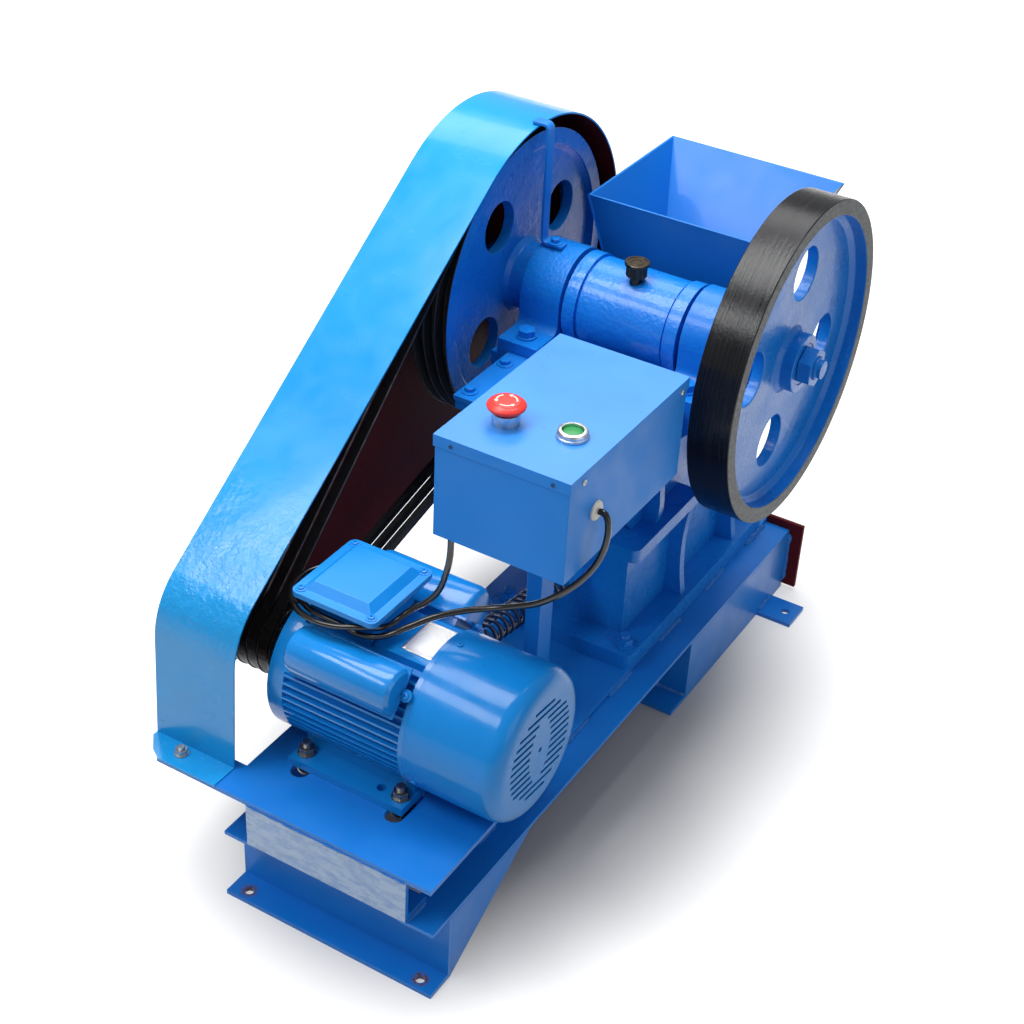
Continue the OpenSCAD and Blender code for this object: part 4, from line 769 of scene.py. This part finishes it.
def add_threads():
    motor, rest, guard = Shape(), Shape(), Shape()
    length = high("motor_bolts").z - MOTOR_NUT_TOP - BOLT_END
    feet_y = (MOTOR.y - MOTOR_FEET_HALF, MOTOR.y + MOTOR_FEET_HALF)
    for at in grid(MOTOR_FEET_X, feet_y, MOTOR_NUT_TOP):
        motor.thread(at, UP, length, *M10)
    guard.thread(GUARD_STUD, UP, GUARD_THREAD, *M8)
    for at in grid(FRAME_BOLTS_X, FRAME_BOLTS_Y, FRAME_NUT_TOP):
        rest.thread(at, UP, FRAME_THREAD, *M12)
    rest.thread(ROD_END + ROD_ALONG * BOLT_END, ROD_ALONG, ROD_THREAD, *M12)
    motor.piece("motor_bolt_threads", "dark_steel", "zinc_steel")
    guard.piece("guard_bolt_thread", "steel", "zinc_steel")
    rest.piece("painted_threads", "casting", "blue_enamel")


# Small bolts and screws: the radius of each head and where it sits
HEX_HEIGHT = 4.5 * MM
HEX_EDGE = 0.4 * MM
COVER_HEX_R = 6.5 * MM
COVER_BOLT_INSET = 12 * MM
COVER_BOLTS_Y = (0.42, 0.497)
STAY_HEX_R = 5.8 * MM
STAY_BOLT_INSET = 12 * MM
STAY_T = 4 * MM
END_SCREW_R = 2.4 * MM
END_SCREWS_X = (0.035, 0.152)
END_SCREW_DROP = 8 * MM
SIDE_SCREW_R = 3.5 * MM
SIDE_SCREWS_Y = (0.183, 0.391)
SIDE_SCREW_DROP = 11 * MM
LID_SCREW_R = 4 * MM
LID_SCREW_INSET = 9 * MM
LID_SEAT = 7 * MM
LID_WASHER_T = 1 * MM
LID_WASHER = [(6 * MM, 0), (6 * MM, 0.8 * MM), (5.5 * MM, LID_WASHER_T)]
EAR_SCREW_R = 4.2 * MM
EAR_X = 41
EAR_TILT = math.radians(48)
EAR_REACH = 95.3 * MM
FAN_SCREW_R = 3.6 * MM
FAN_SCREW_X = 59
FAN_SCREW_TURNS = (3, 123, 243)
FAN_SCREW_REACH = 89.2 * MM


def add_bolts():
    cover = Shape()
    left = low("cover_plate").x + COVER_BOLT_INSET
    right = high("cover_plate").x - COVER_BOLT_INSET
    for at in grid((left, right), COVER_BOLTS_Y, high("cover_plate").z):
        cover.hexagon(at, UP, COVER_HEX_R, HEX_HEIGHT)
    cover.piece("cover_bolts", "casting", "blue_enamel", edge=HEX_EDGE)
    stay = Shape()
    strap = (low("guard_stay") + high("guard_stay")) / 2
    foot = Vector((high("guard_stay").x - STAY_BOLT_INSET, strap.y, low("guard_stay").z + STAY_T))
    stay.hexagon(foot, UP, STAY_HEX_R, HEX_HEIGHT)
    stay.piece("stay_bolt", "casting", "blue_enamel", edge=HEX_EDGE)


def add_box_screws():
    ends, sides = Shape(), Shape()
    corner, far = low("control_box_lid"), high("control_box_lid")
    for x in END_SCREWS_X:
        ends.screw((x, corner.y, far.z - END_SCREW_DROP), (0, -1, 0), END_SCREW_R)
        ends.screw((x, far.y, far.z - END_SCREW_DROP), (0, 1, 0), END_SCREW_R)
    for y in SIDE_SCREWS_Y:
        sides.screw((far.x, y, far.z - SIDE_SCREW_DROP), (1, 0, 0), SIDE_SCREW_R)
        sides.screw((corner.x, y, far.z - SIDE_SCREW_DROP), (-1, 0, 0), SIDE_SCREW_R)
    # The end screws take the painted shade look of recesses.
    ends.piece("box_end_screws", "shaded_screw", "blue_enamel")
    sides.piece("box_side_screws", "steel", "zinc_steel")


def add_motor_screws():
    lid = Shape()
    corner, far = low("terminal_box_lid"), high("terminal_box_lid")
    xs = (corner.x + LID_SCREW_INSET, far.x - LID_SCREW_INSET)
    ys = (corner.y + LID_SCREW_INSET, far.y - LID_SCREW_INSET)
    for at in grid(xs, ys, corner.z + LID_SEAT):
        lid.turn(LID_WASHER, at)
        lid.screw(at + UP * LID_WASHER_T, UP, LID_SCREW_R)
    lid.piece("terminal_lid_screws", "lid", "blue_enamel")
    ears = Shape()
    for side in (-1, 1):
        out = Vector((0, side * math.sin(EAR_TILT), math.cos(EAR_TILT)))
        ears.screw(MOTOR + mm(EAR_X, 0, 0) + out * EAR_REACH, out, EAR_SCREW_R)
    ears.piece("capacitor_screws", "motor", "blue_enamel")
    fan = Shape()
    for turn in FAN_SCREW_TURNS:
        out = Vector((0, math.sin(math.radians(turn)), math.cos(math.radians(turn))))
        fan.screw(MOTOR + mm(FAN_SCREW_X, 0, 0) + out * FAN_SCREW_REACH, out, FAN_SCREW_R)
    fan.piece("fan_cover_screws", "cover", "blue_enamel")


# Name plate, in millimetres
PLATE_X = (4, 43)
PLATE_Y = (120, 175)
PLATE_Z = 333
PLATE_CORNER = 3
# Inset and height of the plate's edge, border and bare field
PLATE_STEPS = ((0, 0), (0, 0.9), (0.3, 1.1), (1.6, 1.1), (2, 0.8))
RIVET_INSET = 3.5
RIVET_SEAT = 0.7
RIVET = [(0.0016, 0), (0.0015, 0.0005), (0.0008, 0.0009)]


def plate_row(x, y, corner, z):
    """A rounded rectangle's outline at a height, from its spans in X and Y."""
    row = []
    for cx, cy, turn in ((x[1], y[1], 0), (x[0], y[1], 1), (x[0], y[0], 2), (x[1], y[0], 3)):
        middle_x = cx - corner * (1 if turn in (0, 3) else -1)
        middle_y = cy - corner * (1 if turn in (0, 1) else -1)
        for k in range(5):
            t = math.pi / 2 * (turn + k / 4)
            row.append(mm(middle_x + corner * math.cos(t), middle_y + corner * math.sin(t), z))
    return row


def add_name_plate():
    """A bare plate with a raised border and four rivets."""
    shape = Shape()
    shape.skin([plate_row((PLATE_X[0] + d, PLATE_X[1] - d), (PLATE_Y[0] + d, PLATE_Y[1] - d),
                          PLATE_CORNER - d * 0.5, PLATE_Z + z) for d, z in PLATE_STEPS])
    for x in (PLATE_X[0] + RIVET_INSET, PLATE_X[1] - RIVET_INSET):
        for y in (PLATE_Y[0] + RIVET_INSET, PLATE_Y[1] - RIVET_INSET):
            shape.turn(RIVET, mm(x, y, PLATE_Z + RIVET_SEAT), sides=16)
    shape.piece("name_plate", "bright", "zinc_steel")


# Grease cup: (radius, height) pairs
CUP_STEM = [(0.007, 0), (0.007, 0.011)]
CUP_BODY = [(0.0112, 0.0108), (0.0126, 0.0114), (0.0126, 0.0245), (0.0122, 0.025)]
CUP_RIM = [
    (0.0146, 0.0248), (0.015, 0.0254), (0.015, 0.0284), (0.0142, 0.029), (0.0118, 0.029), (0.0114, 0.0283),
    (0.0086, 0.0283), (0.0082, 0.0289), (0.0052, 0.0289), (0.0048, 0.0282), (0.001, 0.0282),
]
CUP_KNURL = 0.5 * MM
CUP_SIDES = 80


def add_grease_cup():
    """A knurled screw cap on the barrel's cup."""
    shape = Shape()
    at = axle("grease_cup")
    at.z = low("grease_cup").z
    shape.turn(CUP_STEM, at)
    shape.turn(CUP_BODY, at, sides=CUP_SIDES, knurl=CUP_KNURL)
    shape.turn(CUP_RIM, at, sides=CUP_SIDES)
    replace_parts(shape.piece("grease_cup_cap", "bronze", "black_paint", body="swing_jaw"), "grease_cup")


# Turning marks on the stop button
MARK_STARTS = (20, 140, 260)
MARK_TURN = 88
MARK_STEPS = 16
MARK_HEAD = 13
MARK_TIP = 16.4
MARK_R = 10.5 * MM
MARK_HALF = 0.75 * MM
HEAD_HALF = 2 * MM
MARK_BOTTOM = -0.8 * MM
MARK_TOP = -0.2 * MM


def mark_half(step):
    """Half the width of a mark: a plain stroke, then an arrow's head that narrows to its tip."""
    return MARK_HALF if step < MARK_HEAD else HEAD_HALF * (MARK_TIP - step) / (MARK_TIP - MARK_HEAD)


def add_stop_marks():
    """Three curved turning marks on the stop button's face."""
    top = high("stop_button").z
    shape = Shape()
    for start in MARK_STARTS:
        rows = []
        for k in range(MARK_STEPS + 1):
            t = math.radians(start + MARK_TURN * k / MARK_STEPS)
            half = mark_half(k)
            out = Vector((math.cos(t), math.sin(t), 0))
            ring = ((-half, MARK_BOTTOM), (half, MARK_BOTTOM), (half, MARK_TOP), (-half, MARK_TOP))
            rows.append([STOP_BUTTON + out * (MARK_R + r) + UP * (top + h) for r, h in ring])
        shape.skin(rows)
    shape.piece("stop_marks", "white", "white_plastic", body="stop_button")


# Welds
DOWN = -UP
FRONT = Vector((0, -1, 0))
DECK_WELDS = (0.186, 0.322, 0.43, 0.56, 0.69, 0.816)
DECK_WELD = 58 * MM
CHANNEL_WELDS = (-0.011, 0.126)
CHANNEL_WELD = 36 * MM
CHANNEL_LEG = 3 * MM
PLATE_LEG = 2.2 * MM
FLANGE_T = 6 * MM
TAB_WELD_Y = (0.808, 0.846)
END_WELD_Z = (0.012, 0.09)
FLANGE_WELD_Y = 0.586
FLANGE_WELD_X = (-0.137, 0.137)
PLATE_WELD_X = (-0.104, 0.104)


def weld_along(shape, x, ys, z, out, up, leg=WELD_LEG):
    shape.bead((x, ys[0], z), (x, ys[1], z), out, up, leg)


def weld_across(shape, xs, y, z, out, up, leg=WELD_LEG):
    shape.bead((xs[0], y, z), (xs[1], y, z), out, up, leg)


def weld_side(shape, side):
    """The welds of one side of the base, with side -1 or 1."""
    out = Vector((side, 0, 0))
    deck = high("deck_plate").x * side
    channels = high("motor_channels").x * side
    base = high("base_rails").x * side
    rail_z = low("deck_plate").z
    plate_z = high("motor_channels").z
    for y in DECK_WELDS:
        weld_along(shape, deck, (y, y + DECK_WELD), rail_z, out, UP)
    for y in CHANNEL_WELDS:
        weld_along(shape, channels, (y, y + CHANNEL_WELD), rail_z, out, UP)
        weld_along(shape, channels, (y, y + CHANNEL_WELD), plate_z, out, DOWN, CHANNEL_LEG)
    weld_along(shape, base, TAB_WELD_Y, FLANGE_T, out, UP)
    end = high("rear_pedestal").y
    shape.bead((base, end, END_WELD_Z[0]), (base, end, END_WELD_Z[1]), out, FRONT)


def weld_post(shape):
    near, far = low("box_post"), high("box_post")
    weld_across(shape, (near.x, far.x), near.y, near.z, FRONT, UP)
    weld_across(shape, (near.x, far.x), far.y, near.z, -FRONT, UP)
    weld_along(shape, near.x, (near.y, far.y), near.z, (-1, 0, 0), UP)
    weld_along(shape, far.x, (near.y, far.y), near.z, (1, 0, 0), UP)


def add_welds():
    shape = Shape()
    weld_post(shape)
    for side in (-1, 1):
        weld_side(shape, side)
    front, plate_z = low("motor_channels").y, high("motor_channels").z
    weld_across(shape, PLATE_WELD_X, front, plate_z, FRONT, DOWN, PLATE_LEG)
    weld_across(shape, FLANGE_WELD_X, FLANGE_WELD_Y, FLANGE_T, FRONT, UP)
    shape.piece("weld_beads", "weld", "blue_enamel")


# The hopper's corner seams, from its throat to its mouth
THROAT_X = 70 * MM
THROAT_LENGTH = 122 * MM
SEAM_FROM_Z = 0.458
SEAM_TO_Z = 0.597
SEAM_LEG = 2.6 * MM
SEAM_LEAN = 0.9


def add_hopper_seams():
    seams = Shape()
    near, far = low("hopper"), high("hopper")
    for side in (-1, 1):
        for throat_y, mouth_y, inward in ((near.y, near.y, 1), (near.y + THROAT_LENGTH, far.y, -1)):
            throat = (THROAT_X * side, throat_y, SEAM_FROM_Z)
            mouth = (far.x * side, mouth_y, SEAM_TO_Z)
            seams.bead(throat, mouth, (-SEAM_LEAN * side, 0, 0), (0, SEAM_LEAN * inward, 0), SEAM_LEG)
    seams.piece("hopper_seams", "weld", "blue_enamel")


add_spring()
add_fan()
add_threads()
add_bolts()
add_box_screws()
add_motor_screws()
add_name_plate()
add_grease_cup()
add_stop_marks()
add_welds()
add_hopper_seams()


# Stage: a pale floor and soft studio light
FLOOR_SIZE = 60
FLOOR_GREY = (0.5, 0.5, 0.5)
FLOOR_GLOW = (0.85, 0.85, 0.85, 1)
# An oval round the machine, in which the floor's own white fades for the shadow
OVAL_MIDDLE = (0, -0.82, 0)
OVAL_STRETCH = (3.2, 1.9, 1)
OVAL_INNER = 0.5
OVAL_OUTER = 1.35


def add_floor():
    """A white floor that still takes the machine's shadow."""
    bpy.ops.mesh.primitive_plane_add(size=FLOOR_SIZE)
    floor = bpy.context.object
    floor.name = "floor"
    look = Look("floor", FLOOR_GREY, 0.9)
    look.set("Specular IOR Level", 0.0)
    look.set("Emission Color", FLOOR_GLOW)
    rays = look.add("ShaderNodeLightPath").outputs
    seen = look.math("MAXIMUM", rays["Is Camera Ray"], rays["Is Glossy Ray"])
    seen = look.math("MAXIMUM", seen, rays["Is Transmission Ray"])
    away = look.add("ShaderNodeVectorMath", operation="LENGTH")
    look.feed(away, 0, look.mapped(OVAL_MIDDLE, OVAL_STRETCH))
    clear = look.span(away.outputs["Value"], OVAL_INNER, OVAL_OUTER, kind="SMOOTHSTEP")
    look.set("Emission Strength", look.math("MULTIPLY", seen, clear))
    floor.data.materials.append(look.material)


def add_softbox(name, at, target, size, power):
    data = bpy.data.lights.new(name, "AREA")
    data.shape = "RECTANGLE"
    data.size, data.size_y = size
    data.energy = power
    lamp = bpy.data.objects.new(name, data)
    lamp.location = at
    lamp.rotation_euler = (Vector(target) - Vector(at)).to_track_quat("-Z", "Y").to_euler()
    bpy.context.scene.collection.objects.link(lamp)


def add_world(strength):
    world = bpy.data.worlds.new("studio")
    world.use_nodes = True
    background = world.node_tree.nodes["Background"]
    background.inputs["Color"].default_value = (1, 1, 1, 1)
    background.inputs["Strength"].default_value = strength
    bpy.context.scene.world = world


MACHINE_MIDDLE = (0, 0.4, 0.3)
WORLD_LIGHT = 0.34
add_floor()
add_world(WORLD_LIGHT)
add_softbox("overhead", (-0.25, 0.6, 2.6), MACHINE_MIDDLE, (2.2, 0.8), 55)
add_softbox("behind", (-1.0, 1.9, 2.6), MACHINE_MIDDLE, (2.0, 1.0), 22)
add_softbox("front", (-0.85, -1.0, 2.2), (-0.1, 0.05, 0.35), (1.3, 0.5), 20)
add_softbox("right", (2.4, -0.2, 1.2), MACHINE_MIDDLE, (1.4, 1.4), 7)
bpy.context.scene.view_settings.view_transform = "Standard"
